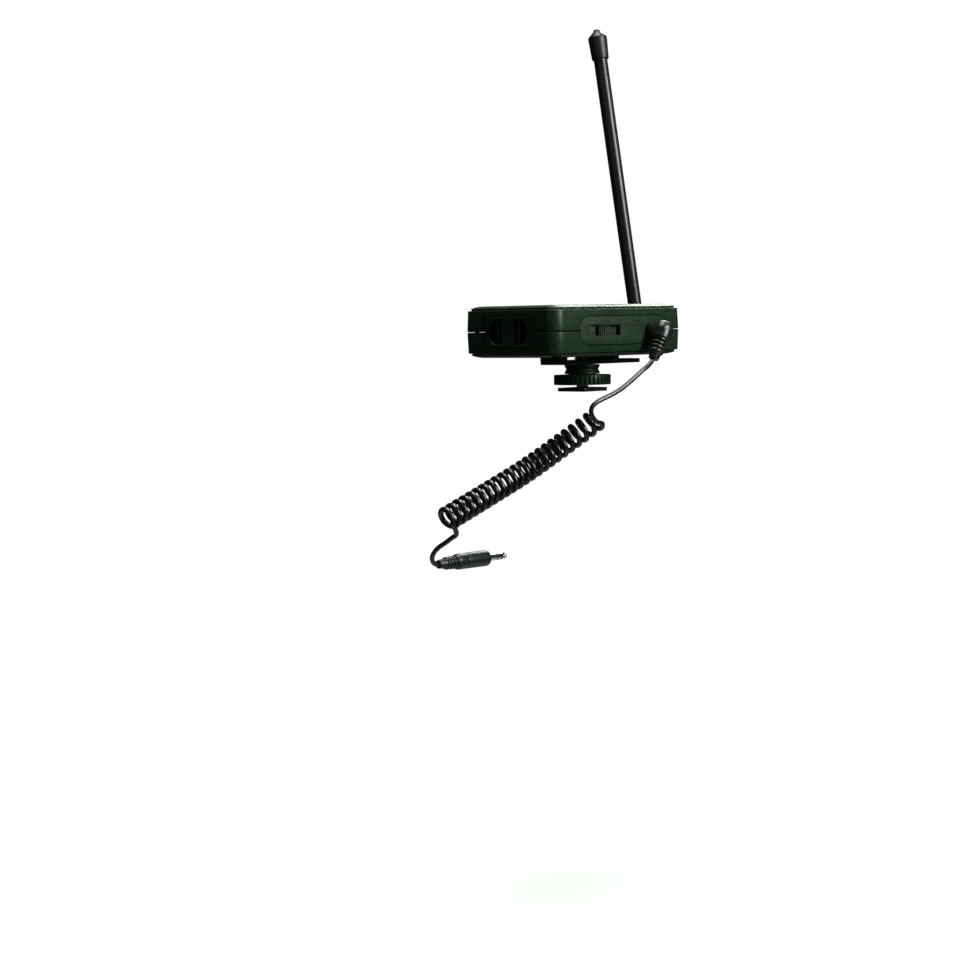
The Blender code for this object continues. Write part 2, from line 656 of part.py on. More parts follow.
def make_latches(marker):
    """Pinch latches with one spring between them, in a tunnel through the middle of the tray front."""
    for name, side in (("latch_left", 1), ("latch_right", -1)):
        def across(first, last):
            return sorted((TRAY_Y + side * first, TRAY_Y + side * last))
        y0, y1 = across(*LATCH_TAB)
        latch = box(name, (TRAY_X[0] + 0.7, y0, SEAM_Z - 5.4), (RECESS_FLOOR_X - GAP, y1, SEAM_Z + 5.4),
                    "knob_plastic")
        y0, y1 = across(LATCH_TAB[0] + 0.1, TRAY_HALF_WIDTH - 0.1)
        fuse(latch, box(name + "_arm", (LATCH_ARM_X[0], y0, SEAM_Z - LATCH_ARM_HALF_HEIGHT),
                        (LATCH_ARM_X[1], y1, SEAM_Z + LATCH_ARM_HALF_HEIGHT)),
             cylinder(name + "_peg", (LATCH_AXIS_X, TRAY_Y + side * 6.8, SEAM_Z),
                      (LATCH_AXIS_X, TRAY_Y + side * 3.4, SEAM_Z), 0.9, sides=12))
        axis = joint_empty(name + "_axis", (LATCH_AXIS_X, TRAY_Y + side * LATCH_TAB[0], SEAM_Z))
        carry(axis, latch)
    start, end = (LATCH_AXIS_X, TRAY_Y - 4.3, SEAM_Z), (LATCH_AXIS_X, TRAY_Y + 4.3, SEAM_Z)
    points = coil_points(start, end, 1.5, 6, 10)
    carry(marker, tube("latch_spring", points, 0.2, "steel", 1))


def make_cells(marker):
    for i, side in enumerate((-1, 1)):
        y = TRAY_Y + side * CELL_SPACING
        body = CELL_X[1] - CELL_X[0] - 1.2
        profile = ((0, body + 1.2), (2.7, body + 1.2), (2.7, body), (6.6, body), (CELL_RADIUS, body - 0.6),
                   (CELL_RADIUS, 0.6), (6.6, 0.0), (0, 0.0))
        start, end = (CELL_X[0], y, SEAM_Z + 0.05), (CELL_X[1], y, SEAM_Z + 0.05)
        if side > 0:
            start, end = end, start
        carry(marker, turned(f"battery_{i + 1}", profile, start, end, "battery_sleeve", sides=20))
    carry(marker, box("tray_contact_strip", (CELL_X[0] - 0.6, TRAY_Y - 12.0, SEAM_Z - 3),
                      (CELL_X[0] - 0.3, TRAY_Y + 12.0, SEAM_Z + 3), "brass"))


def make_battery_bay():
    """Rectangular sleeve that the tray slides in."""
    bay = box("battery_bay", (BAY_X[0], TRAY_Y - BAY_HALF_WIDTH, SEAM_Z - BAY_HALF_HEIGHT),
              (BAY_X[1], TRAY_Y + BAY_HALF_WIDTH, SEAM_Z + BAY_HALF_HEIGHT), "panel_plastic")
    inner = TRAY_HALF_WIDTH + GAP
    cut(bay, box("bay_inside", (BAY_X[0] - 2, TRAY_Y - inner, SEAM_Z - TRAY_HALF_HEIGHT - GAP),
                 (BAY_X[1] + 2, TRAY_Y + inner, SEAM_Z + TRAY_HALF_HEIGHT + GAP)))


# ---------------------------------------------------------------- belt clip and shoe adapter
def make_clip_bracket():
    plate_low, plate_high = BRACKET_PLATE_Z
    bracket = box("clip_bracket", (BRACKET_X[0], -CLIP_HALF_WIDTH, CLIP_BOTTOM),
                  (BRACKET_X[1], CLIP_HALF_WIDTH, plate_high), "case_plastic")
    inner = CLIP_NARROW_HALF_WIDTH + GAP
    cut(bracket,
        box("bracket_channel", (BRACKET_X[0] - 1, -inner, CLIP_BOTTOM - 1),
            (BRACKET_X[1] + 1, inner, plate_low)),
        box("bracket_notch", (BRACKET_PLATE_END_X, -inner, CLIP_BOTTOM - 1),
            (BRACKET_X[1] + 1, inner, plate_high + 1)),
        cylinder("bracket_pin_hole", (CLIP_PIN_X, -10, CLIP_PIN_Z), (CLIP_PIN_X, 10, CLIP_PIN_Z),
                 CLIP_PIN_RADIUS + GAP, sides=16))
    for i, y in enumerate(BRACKET_SCREW_Y):
        cut(bracket,
            cylinder(f"bracket_hole_{i}", (BRACKET_SCREW_X, y, plate_low - 1), (BRACKET_SCREW_X, y, 20), 1.3,
                     sides=12),
            cylinder(f"bracket_sink_{i}", (BRACKET_SCREW_X, y, plate_low - 1),
                     (BRACKET_SCREW_X, y, plate_low + 0.9), 2.2, sides=16))
        profile = ((0, 5.0), (1.0, 5.0), (1.0, 0.6), (1.9, 0.6), (1.9, 0.0), (0, 0.0))
        turned(f"bracket_screw_{i + 1}", profile, (BRACKET_SCREW_X, y, plate_low), (BRACKET_SCREW_X, y, 30),
               "black_metal", sides=12)
    cylinder("clip_pin", (CLIP_PIN_X, -8.9, CLIP_PIN_Z), (CLIP_PIN_X, 8.9, CLIP_PIN_Z), CLIP_PIN_RADIUS,
             "steel", sides=16)


def make_clip_spring():
    """Torsion spring round the clip pin, one leg each way."""
    radius = 1.72
    points = []
    turns, steps = 4, 10
    for i in range(turns * steps + steps // 2 + 1):
        angle = math.pi / 2 + 2 * math.pi * i / steps
        points.append((CLIP_PIN_X + radius * math.cos(angle), -1.7 + 0.75 * i / steps,
                       CLIP_PIN_Z + radius * math.sin(angle)))
    first, last = points[0], points[-1]
    points = [(first[0] + 2.4, first[1], first[2])] + points + [(last[0] + 1.9, last[1], last[2])]
    tube("clip_spring", points, 0.22, "steel", 1)


def make_belt_clip():
    """Flat sprung leaf with a lip at its tip, a knuckle on the pin and a thumb pad behind it."""
    top = CLIP_BOTTOM + CLIP_THICKNESS
    wide, narrow = CLIP_HALF_WIDTH, CLIP_NARROW_HALF_WIDTH
    neck = BRACKET_X[0] - 0.7
    outline = [(CLIP_END_X, wide - 3)] + arc((CLIP_END_X - 3, wide - 3), 3, 0, 90, 4)[1:] + [
        (CLIP_PAD_X, wide), (CLIP_PAD_X, narrow), (neck, narrow), (neck, wide)]
    outline += arc((CLIP_TIP_X + 1, wide - 1), 1, 90, 180, 3)
    outline += [(x, -y) for x, y in outline[::-1]]
    clip = plate("belt_clip", outline, CLIP_THICKNESS, "case_plastic")
    clip.location = metres((0, 0, CLIP_BOTTOM + CLIP_THICKNESS / 2))
    lip = box("clip_lip", (CLIP_TIP_X + 0.1, -wide + 1.1, top - 0.5),
              (CLIP_TIP_X + CLIP_LIP_LENGTH, wide - 1.1, BRACKET_PLATE_Z[1]))
    knuckle = cylinder("clip_knuckle", (CLIP_PIN_X, -narrow, CLIP_PIN_Z), (CLIP_PIN_X, narrow, CLIP_PIN_Z),
                       CLIP_KNUCKLE_RADIUS, sides=20)
    fuse(clip, lip, knuckle)
    cut(clip, cylinder("clip_pin_bore", (CLIP_PIN_X, -10, CLIP_PIN_Z), (CLIP_PIN_X, 10, CLIP_PIN_Z),
                       CLIP_PIN_RADIUS + GAP, sides=16),
        box("spring_notch", (CLIP_PIN_X - 2.6, -2.6, 10), (CLIP_PIN_X + 3.4, 2.6, 20)),
        cylinder("stud_hole", (0, 0, 10), (0, 0, 20), STUD_RADIUS + GAP))


def make_shoe_adapter():
    half = FOOT_SIDE / 2
    base, up = (0, 0, 0), (0, 0, 1)
    box("shoe_foot", (-half, -half, 0), (half, half, FOOT_THICKNESS), "black_metal", bevel=0.8, edges="Z")
    stud_bottom = FOOT_THICKNESS + GAP
    profile = ((0, STUD_TOP), (STUD_HEAD_RADIUS, STUD_TOP), (STUD_HEAD_RADIUS, STUD_TOP - 0.8),
               (STUD_RADIUS, STUD_TOP - 0.8), (STUD_RADIUS, stud_bottom), (0, stud_bottom))
    turned("adapter_stud", profile, base, up, "steel", sides=24)
    bore = STUD_RADIUS + GAP
    profile = ((NECK_RADIUS, NECK_TOP), (NECK_RADIUS, NECK_TOP - 1.2),
               (NECK_WAIST, (NECK_BOTTOM + NECK_TOP) / 2), (NECK_RADIUS, NECK_BOTTOM + 0.6),
               (NECK_RADIUS, NECK_BOTTOM), (bore, NECK_BOTTOM), (bore, NECK_TOP))
    turned("adapter_neck", profile, base, up, "case_plastic", sides=32, ring=True)
    washer_low = FOOT_THICKNESS + RAIL_GAP
    washer_high = washer_low + WASHER_THICKNESS
    slide = joint_empty("clamp_slide_axis", (0, 0, washer_low))
    profile = ((WASHER_RADIUS, washer_high), (WASHER_RADIUS, washer_low), (bore, washer_low),
               (bore, washer_high))
    carry(slide, turned("clamp_washer", profile, base, up, "rubber", sides=32, ring=True))
    outline = []
    for i in range(2 * WHEEL_RIBS):
        angle = math.pi * (i + 0.5) / WHEEL_RIBS
        radius = WHEEL_RADIUS if i % 2 == 0 else WHEEL_RADIUS - 0.7
        outline.append((radius * math.cos(angle), radius * math.sin(angle)))
    wheel_low = washer_low + 0.1
    wheel = plate("thumbwheel", outline, WHEEL_TOP - wheel_low, "case_plastic")
    wheel.location = metres((0, 0, (WHEEL_TOP + wheel_low) / 2))
    cut(wheel, cylinder("wheel_bore", base, (0, 0, 12), bore),
        cylinder("wheel_counterbore", base, (0, 0, washer_high + GAP), WASHER_RADIUS + GAP, sides=32))
    turn = joint_empty("thumbwheel_axis", (0, 0, wheel_low))
    carry(turn, wheel)


# ---------------------------------------------------------------- cord
def relief_profile(length, pitch, ring_radii, groove_radius, end_radius, rings):
    """Ribbed strain relief, listed from its free end down to its root."""
    first, last = ring_radii
    points = [(0, 0.0), (groove_radius, 0.0)]
    for i in range(rings):
        middle = 0.9 + pitch * i
        radius = first + (last - first) * i / (rings - 1)
        points += [(groove_radius, middle - 0.8), (radius, middle - 0.6), (radius, middle + 0.6),
                   (groove_radius, middle + 0.8)]
    points += [(end_radius, length), (0, length)]
    return points[::-1]


def make_near_plug():
    """Right-angle plug: a domed body that leans along the case side, a neck into the jack, and the relief."""
    lean = math.radians(PLUG_LEAN)
    run = Vector((-math.sin(lean), 0.0, -math.cos(lean)))
    corner = Vector((JACK_X, PLUG_CORD_Y, JACK_Z))
    start = PLUG_RELIEF[0] + 0.6
    profile = ((0, start), (PLUG_BODY_RADIUS, start), (PLUG_BODY_RADIUS, -1.8), (4.1, -3.4), (2.8, -4.6),
               (0, -5.1))
    elbow = turned("plug_elbow", profile, corner, corner + run, "rubber", sides=24)
    depth = PLUG_FACE_Y - PLUG_CORD_Y
    profile = ((0, depth + 3.4), (2.6, depth + 3.1), (4.2, depth + 1.9), (PLUG_NECK_RADIUS, depth),
               (PLUG_NECK_RADIUS, 0.0), (0, 0.0))
    neck = turned("plug_neck", profile, (JACK_X, PLUG_FACE_Y, JACK_Z), (JACK_X, -60, JACK_Z), sides=24)
    profile = relief_profile(PLUG_RELIEF[1] - PLUG_RELIEF[0], 2.2, (4.2, 3.9), 3.2, 2.7, 4)
    root = corner + run * PLUG_RELIEF[0]
    relief = turned("plug_relief", profile, root, root + run, sides=20)
    fuse(elbow, neck, relief)
    profile = ((0, 13.6), (0.9, 13.3), (1.7, 11.8), (1.2, 10.9), (1.7, 10.2), (1.7, 0.0), (0, 0.0))
    turned("plug_pin", profile, (JACK_X, -32.5, JACK_Z), (JACK_X, 0, JACK_Z), "chrome", sides=16)


def make_far_plug():
    relief_end, barrel_start, shoulder, tip = FAR_PLUG_X
    start = (barrel_start, FAR_PLUG_Y, FAR_PLUG_Z)
    length = shoulder - barrel_start
    profile = ((0, length), (3.6, length), (FAR_BARREL_RADIUS, length - 0.6), (FAR_BARREL_RADIUS, 0.8),
               (3.7, 0.0), (0, 0.0))
    barrel = turned("far_plug_barrel", profile, start, (0, FAR_PLUG_Y, FAR_PLUG_Z), "rubber", sides=20)
    relief_start = (barrel_start + 1.0, FAR_PLUG_Y, FAR_PLUG_Z)
    length = relief_start[0] - relief_end
    profile = relief_profile(length, 2.2, (FAR_RELIEF_RADIUS, FAR_RELIEF_RADIUS - 0.2), 2.6, 2.2, 4)
    relief = turned("far_plug_relief", profile, relief_start, (relief_end - 5, FAR_PLUG_Y, FAR_PLUG_Z),
                    sides=20)
    fuse(barrel, relief)
    pin = tip - shoulder - GAP
    profile = ((0, pin), (0.9, pin - 0.3), (1.7, pin - 1.8), (1.2, pin - 2.7), (1.75, pin - 3.4),
               (1.75, 0.0), (0, 0.0))
    turned("far_plug_pin", profile, (shoulder + GAP, FAR_PLUG_Y, FAR_PLUG_Z), (0, FAR_PLUG_Y, FAR_PLUG_Z),
           "chrome", sides=16)


def make_cord():
    tube("cord_lead", smooth_route(LEAD_ROUTE, 3), WIRE_RADIUS, "rubber")
    tube("cord_coil", smooth_route(COIL_ROUTE, 4), COIL_RADIUS, "rubber")
    tube("cord_tail", smooth_route(TAIL_ROUTE, 3), WIRE_RADIUS, "rubber")


# ---------------------------------------------------------------- build
make_front_shell()
make_rear_shell()
make_case_screws()
make_side_panel()
make_channel_switch()
make_jack()
make_power_switch()
make_antenna_base()
make_antenna()
make_electronics()
make_battery_bay()
TRAY_MARKER = joint_empty("battery_tray_axis", (TRAY_X[0], TRAY_Y, SEAM_Z))
make_battery_tray(TRAY_MARKER)
make_latches(TRAY_MARKER)
make_cells(TRAY_MARKER)
make_clip_bracket()
make_clip_spring()
make_belt_clip()
make_shoe_adapter()
make_near_plug()
make_far_plug()
make_cord()
bpy.context.view_layer.update()
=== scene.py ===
import json
import math

import bmesh
import bpy
from mathutils import Matrix, Vector


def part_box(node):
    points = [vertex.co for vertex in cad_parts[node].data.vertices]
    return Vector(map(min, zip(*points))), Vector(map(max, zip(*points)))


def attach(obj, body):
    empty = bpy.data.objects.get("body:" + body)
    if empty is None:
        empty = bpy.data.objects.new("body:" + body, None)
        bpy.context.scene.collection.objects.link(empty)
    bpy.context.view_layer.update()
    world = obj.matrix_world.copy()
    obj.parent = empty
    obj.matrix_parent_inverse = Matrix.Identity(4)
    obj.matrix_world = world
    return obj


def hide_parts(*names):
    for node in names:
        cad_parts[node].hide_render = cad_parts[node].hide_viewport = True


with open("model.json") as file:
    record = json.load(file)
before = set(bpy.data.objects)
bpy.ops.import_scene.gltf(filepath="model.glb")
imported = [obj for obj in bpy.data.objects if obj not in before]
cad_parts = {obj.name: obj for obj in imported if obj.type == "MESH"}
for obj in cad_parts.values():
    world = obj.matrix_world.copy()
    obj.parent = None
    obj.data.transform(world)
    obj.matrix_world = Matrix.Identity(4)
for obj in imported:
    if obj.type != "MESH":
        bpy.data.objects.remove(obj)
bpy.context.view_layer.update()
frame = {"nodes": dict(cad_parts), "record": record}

MM = 0.001
GAP = 0.3


def node_box(node):
    """Lowest and highest corner of a CAD node, in millimetres."""
    low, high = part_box(node)
    return Vector(low) / MM, Vector(high) / MM


# ---- places that come from the frame ----
FRONT_LOW, FRONT_HIGH = node_box("front_shell")
REAR_LOW, REAR_HIGH = node_box("rear_shell")
SEAM_Z = (FRONT_LOW.z + REAR_HIGH.z) / 2
CASE_MID = Vector(((FRONT_LOW.x + FRONT_HIGH.x) / 2, (FRONT_LOW.y + FRONT_HIGH.y) / 2, SEAM_Z))
CASE_HALF_LENGTH = (FRONT_HIGH.x - FRONT_LOW.x) / 2
CASE_HALF_WIDTH = (FRONT_HIGH.y - FRONT_LOW.y) / 2
CASE_HALF_DEPTH = FRONT_HIGH.z - SEAM_Z
CASE_CORNER = 7.5
PANEL_LOW, PANEL_HIGH = node_box("side_panel")
TRAY_LOW, TRAY_HIGH = node_box("battery_tray")
TRAY_Y = (TRAY_LOW.y + TRAY_HIGH.y) / 2
SLIDER_LOW, SLIDER_HIGH = node_box("channel_slider")
KNOB_X = (SLIDER_LOW.x + SLIDER_HIGH.x) / 2
PIN_LOW, PIN_HIGH = node_box("plug_pin")
JACK_X = (PIN_LOW.x + PIN_HIGH.x) / 2
JACK_Z = (PIN_LOW.z + PIN_HIGH.z) / 2
JOINTS = {joint["name"]: joint for joint in frame["record"]["behaviour"]["joints"]}
ANTENNA_PIVOT = Vector(JOINTS["antenna_fold"]["pos_m"]) / MM
ANTENNA_LEAN = math.radians(9.4)
CLIP_LOW, CLIP_HIGH = node_box("belt_clip")
CLIP_PIN = Vector(JOINTS["clip_hinge"]["pos_m"]) / MM
BRACKET_LOW, BRACKET_HIGH = node_box("clip_bracket")
WHEEL_LOW, WHEEL_HIGH = node_box("thumbwheel")
NECK_LOW, NECK_HIGH = node_box("adapter_neck")
FOOT_LOW, FOOT_HIGH = node_box("shoe_foot")


# ---------------------------------------------------------------- materials
def shader_tree(name):
    material = bpy.data.materials.new(name)
    material.use_nodes = True
    tree = material.node_tree
    return material, tree, tree.nodes["Principled BSDF"]


def noise(tree, scale, detail=3.0, roughness=0.55, stretch=None):
    """Noise in the object's own coordinates; scale is in features per metre."""
    place = tree.nodes.new("ShaderNodeTexCoord")
    texture = tree.nodes.new("ShaderNodeTexNoise")
    texture.inputs["Scale"].default_value = scale
    texture.inputs["Detail"].default_value = detail
    texture.inputs["Roughness"].default_value = roughness
    if stretch:
        mapping = tree.nodes.new("ShaderNodeMapping")
        mapping.inputs["Scale"].default_value = stretch
        tree.links.new(place.outputs["Object"], mapping.inputs["Vector"])
        tree.links.new(mapping.outputs["Vector"], texture.inputs["Vector"])
    else:
        tree.links.new(place.outputs["Object"], texture.inputs["Vector"])
    return texture.outputs["Fac"]


def ramp(tree, source, stops):
    """Colour ramp from (position, colour) pairs."""
    node = tree.nodes.new("ShaderNodeValToRGB")
    elements = node.color_ramp.elements
    while len(elements) < len(stops):
        elements.new(0.5)
    for element, (position, colour) in zip(elements, stops):
        element.position = position
        element.color = (*colour, 1.0)
    tree.links.new(source, node.inputs["Fac"])
    return node.outputs["Color"]


def spread(tree, source, low, high):
    """Map a 0 to 1 value to a range."""
    node = tree.nodes.new("ShaderNodeMapRange")
    node.inputs["From Min"].default_value = 0.3
    node.inputs["From Max"].default_value = 0.7
    node.inputs["To Min"].default_value = low
    node.inputs["To Max"].default_value = high
    tree.links.new(source, node.inputs["Value"])
    return node.outputs["Result"]


def bump(tree, shader, source, depth, strength):
    node = tree.nodes.new("ShaderNodeBump")
    node.inputs["Distance"].default_value = depth * MM
    node.inputs["Strength"].default_value = strength
    tree.links.new(source, node.inputs["Height"])
    tree.links.new(node.outputs["Normal"], shader.inputs["Normal"])


def tinted(colour, factor):
    return tuple(channel * factor for channel in colour)


def surface(name, colour, roughness, metallic=0.0, specular=0.5, grain=(5200, 0.03, 0.35), mottle=0.22,
            stretch=None, coat=0.0):
    """Solid material: slow colour and gloss variation, and a fine grain of (scale, depth, strength)."""
    material, tree, shader = shader_tree(name)
    slow = noise(tree, 140, 4.0)
    tree.links.new(ramp(tree, slow, ((0.3, tinted(colour, 1 - mottle)), (0.7, tinted(colour, 1 + mottle)))),
                   shader.inputs["Base Color"])
    gloss = spread(tree, noise(tree, 420, 5.0), roughness - 0.05, roughness + 0.06)
    tree.links.new(gloss, shader.inputs["Roughness"])
    shader.inputs["Metallic"].default_value = metallic
    shader.inputs["Specular IOR Level"].default_value = specular
    shader.inputs["Coat Weight"].default_value = coat
    shader.inputs["Coat Roughness"].default_value = 0.2
    scale, depth, strength = grain
    bump(tree, shader, noise(tree, scale, 2.0, stretch=stretch), depth, strength)
    return material


def board_surface():
    """Lacquered board: dull green with lighter tracks."""
    material, tree, shader = shader_tree("board_look")
    place = tree.nodes.new("ShaderNodeTexCoord")
    brick = tree.nodes.new("ShaderNodeTexBrick")
    brick.inputs["Scale"].default_value = 240
    brick.inputs["Mortar Size"].default_value = 0.03
    brick.inputs["Color1"].default_value = (0.010, 0.085, 0.035, 1)
    brick.inputs["Color2"].default_value = (0.012, 0.105, 0.042, 1)
    brick.inputs["Mortar"].default_value = (0.03, 0.22, 0.09, 1)
    tree.links.new(place.outputs["Object"], brick.inputs["Vector"])
    tree.links.new(brick.outputs["Color"], shader.inputs["Base Color"])
    tree.links.new(spread(tree, noise(tree, 500), 0.3, 0.45), shader.inputs["Roughness"])
    return material


def build_looks():
    return {
        "case": surface("case_look", (0.0080, 0.0235, 0.0098), 0.38, specular=0.30),
        "panel": surface("panel_look", (0.0095, 0.0250, 0.0112), 0.48, specular=0.28,
                         grain=(3800, 0.03, 0.45)),
        "knob": surface("knob_look", (0.016, 0.024, 0.017), 0.45, specular=0.4),
        "ink": surface("ink_look", (0.0016, 0.0024, 0.0018), 0.55, specular=0.2),
        "sleeve": surface("sleeve_look", (0.0050, 0.0075, 0.0055), 0.34, specular=0.5,
                          grain=(2600, 0.02, 0.25)),
        "cap": surface("cap_look", (0.0060, 0.0085, 0.0065), 0.42, specular=0.5, grain=(2600, 0.04, 0.4)),
        "cord": surface("cord_look", (0.0045, 0.0070, 0.0052), 0.27, specular=0.55, grain=(3000, 0.015, 0.2)),
        "plug": surface("plug_look", (0.0055, 0.0080, 0.0060), 0.36, specular=0.5, grain=(2800, 0.03, 0.35)),
        "chrome": surface("chrome_look", (0.70, 0.72, 0.69), 0.13, metallic=1.0, mottle=0.05,
                          grain=(900, 0.004, 0.15)),
        "steel": surface("steel_look", (0.42, 0.44, 0.42), 0.32, metallic=1.0, mottle=0.1,
                         grain=(1500, 0.01, 0.3), stretch=(1, 1, 12)),
        "black_metal": surface("black_metal_look", (0.010, 0.014, 0.011), 0.36, metallic=0.3,
                               grain=(2400, 0.02, 0.3)),
        "brass": surface("brass_look", (0.72, 0.53, 0.24), 0.28, metallic=1.0, mottle=0.1,
                         grain=(1500, 0.01, 0.25)),
        "lens": surface("lens_look", (0.30, 0.030, 0.018), 0.14, mottle=0.1, grain=(1200, 0.004, 0.1),
                        coat=0.6),
        "cell": surface("cell_look", (0.055, 0.070, 0.078), 0.3, specular=0.5, grain=(1200, 0.004, 0.15),
                        coat=0.4),
        "cell_band": surface("cell_band_look", (0.42, 0.25, 0.10), 0.3, metallic=0.6,
                             grain=(1200, 0.004, 0.15)),
        "chip": surface("chip_look", (0.012, 0.012, 0.013), 0.5),
        "board": board_surface(),
    }


LOOKS = build_looks()


# ---------------------------------------------------------------- mesh helpers
def metres(point):
    return Vector(point) * MM


def add_object(name, data, look=None, body=None):
    item = bpy.data.objects.new(name, data)
    bpy.context.scene.collection.objects.link(item)
    if look:
        data.materials.clear()
        data.materials.append(LOOKS[look])
    if body:
        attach(item, body)
    return item


def smooth(item, angle=32.0):
    item.data.shade_smooth()
    item.data.set_sharp_from_angle(angle=math.radians(angle))
    return item


def mesh_from(name, build):
    mesh = bpy.data.meshes.new(name)
    sketch = bmesh.new()
    build(sketch)
    bmesh.ops.recalc_face_normals(sketch, faces=sketch.faces)
    sketch.to_mesh(mesh)
    sketch.free()
    return mesh


def rounded(points, radius, steps=4, closed=False):
    """Outline with each corner replaced by a small curve."""
    points = [Vector(p) for p in points]
    count = len(points)
    result = []
    for i, corner in enumerate(points):
        if not closed and i in (0, count - 1):
            result.append(corner)
            continue
        before, after = points[i - 1], points[(i + 1) % count]
        back, ahead = before - corner, after - corner
        reach = min(radius, back.length * 0.45, ahead.length * 0.45)
        start, end = corner + back.normalized() * reach, corner + ahead.normalized() * reach
        for k in range(steps + 1):
            t = k / steps
            result.append(start * (1 - t) ** 2 + corner * 2 * t * (1 - t) + end * t ** 2)
    return [tuple(p) for p in result]


def arc(centre, radius, first, last, steps):
    angles = [math.radians(first + (last - first) * i / steps) for i in range(steps + 1)]
    return [(centre[0] + radius * math.cos(a), centre[1] + radius * math.sin(a)) for a in angles]


def rounded_rectangle(half_x, half_y, radius, steps=8):
    outline = []
    for quarter, (sx, sy) in enumerate(((1, 1), (-1, 1), (-1, -1), (1, -1))):
        centre = (sx * (half_x - radius), sy * (half_y - radius))
        outline += arc(centre, radius, quarter * 90, quarter * 90 + 90, steps)
    return outline


def loft_mesh(name, loops):
    def build(sketch):
        rows = [[sketch.verts.new(metres(p)) for p in loop] for loop in loops]
        for lower, upper in zip(rows, rows[1:]):
            for i in range(len(lower)):
                j = (i + 1) % len(lower)
                sketch.faces.new((lower[i], lower[j], upper[j], upper[i]))
        sketch.faces.new(rows[0][::-1])
        sketch.faces.new(rows[-1])

    return mesh_from(name, build)


def turned_mesh(name, profile, steps=48, ring=False):
    """Body of revolution about Z through (radius, height) points; ring closes the profile on itself."""
    def build(sketch):
        rows = []
        for radius, height in profile:
            if radius < 1e-6:
                rows.append([sketch.verts.new((0, 0, height * MM))])
            else:
                angles = [2 * math.pi / steps * i for i in range(steps)]
                rows.append([sketch.verts.new((radius * math.cos(a) * MM, radius * math.sin(a) * MM,
                                               height * MM)) for a in angles])
        pairs = list(zip(rows, rows[1:]))
        if ring:
            pairs.append((rows[-1], rows[0]))
        for first, second in pairs:
            for i in range(steps):
                j = (i + 1) % steps
                corners = [first[i % len(first)], first[j % len(first)], second[j % len(second)],
                           second[i % len(second)]]
                face = [v for k, v in enumerate(corners) if v not in corners[:k]]
                if len(face) > 2:
                    sketch.faces.new(face)

    return mesh_from(name, build)


def axis_matrix(origin, towards):
    """Matrix that puts a shape made along Z at the origin, pointing towards another point."""
    direction = Vector(towards) - Vector(origin)
    turn = Vector((0, 0, 1)).rotation_difference(direction).to_matrix().to_4x4()
    return Matrix.Translation(metres(origin)) @ turn


def turned(name, profile, origin, towards, look, body, fillet=0.25, steps=48, ring=False, base=None):
    """Turned piece with softened edges; base is the frame that origin and towards are given in."""
    mesh = turned_mesh(name, rounded(profile, fillet, 3, closed=ring), steps, ring)
    matrix = axis_matrix(origin, towards)
    mesh.transform(base @ matrix if base else matrix)
    return smooth(add_object(name, mesh, look, body))


def block_mesh(name, low, high, radius=0.0, segments=3):
    """Box with rounded edges."""
    low, high = Vector(low), Vector(high)

    def build(sketch):
        bmesh.ops.create_cube(sketch, size=1.0)
        bmesh.ops.scale(sketch, vec=(high - low) * MM, verts=sketch.verts)
        bmesh.ops.translate(sketch, vec=(low + high) / 2 * MM, verts=sketch.verts)
        if radius:
            bmesh.ops.bevel(sketch, geom=sketch.edges[:], offset=radius * MM, segments=segments,
                            affect="EDGES", profile=0.5)

    return mesh_from(name, build)


def block(name, low, high, radius, look, body):
    return smooth(add_object(name, block_mesh(name, low, high, radius), look, body))


def plate_mesh(name, outlines, thickness, edge=0.0):
    """Flat plate in XY with rounded edges. The first outline is the outside and the others are holes, and
    each already stands back from its edge by the rounding."""
    curve = bpy.data.curves.new(name, "CURVE")
    curve.dimensions = "2D"
    curve.fill_mode = "BOTH"
    curve.extrude = (thickness / 2 - edge) * MM
    curve.bevel_depth = edge * MM
    curve.bevel_resolution = 2
    for index, outline in enumerate(outlines):
        points = outline if index == 0 else outline[::-1]
        spline = curve.splines.new("POLY")
        spline.points.add(len(points) - 1)
        for point, (x, y) in zip(spline.points, points):
            point.co = (x * MM, y * MM, 0.0, 1.0)
        spline.use_cyclic_u = True
    return curve_to_mesh(name, curve)


def curve_to_mesh(name, curve):
    source = bpy.data.objects.new(name + "_outline", curve)
    bpy.context.scene.collection.objects.link(source)
    bpy.context.view_layer.update()
    mesh = bpy.data.meshes.new_from_object(source.evaluated_get(bpy.context.evaluated_depsgraph_get()))
    bpy.data.objects.remove(source, do_unlink=True)
    mesh.materials.clear()
    sketch = bmesh.new()
    sketch.from_mesh(mesh)
    bmesh.ops.remove_doubles(sketch, verts=sketch.verts, dist=0.000002)
    bmesh.ops.recalc_face_normals(sketch, faces=sketch.faces)
    sketch.to_mesh(mesh)
    sketch.free()
    return mesh


def combine(item, mesh, operation):
    """Cut a mesh from a piece, or join it to the piece, and keep the result."""
    tool = bpy.data.objects.new("tool", mesh)
    bpy.context.scene.collection.objects.link(tool)
    step = item.modifiers.new("step", "BOOLEAN")
    step.operation = operation
    step.solver = "EXACT"
    step.object = tool
    bpy.context.view_layer.update()
    result = bpy.data.meshes.new_from_object(item.evaluated_get(bpy.context.evaluated_depsgraph_get()))
    item.modifiers.clear()
    old = item.data
    item.data = result
    bpy.data.meshes.remove(old)
    bpy.data.objects.remove(tool, do_unlink=True)
    return item


def cut(item, *meshes):
    for mesh in meshes:
        combine(item, mesh, "DIFFERENCE")
    return smooth(item)


def join(item, *meshes):
    for mesh in meshes:
        combine(item, mesh, "UNION")
    return smooth(item)


def placed(mesh, matrix):
    mesh.transform(matrix)
    return mesh


def rod_mesh(name, start, end, radius, steps=24):
    length = (Vector(end) - Vector(start)).length
    mesh = turned_mesh(name, ((0, length), (radius, length), (radius, 0), (0, 0)), steps)
    return placed(mesh, axis_matrix(start, end))


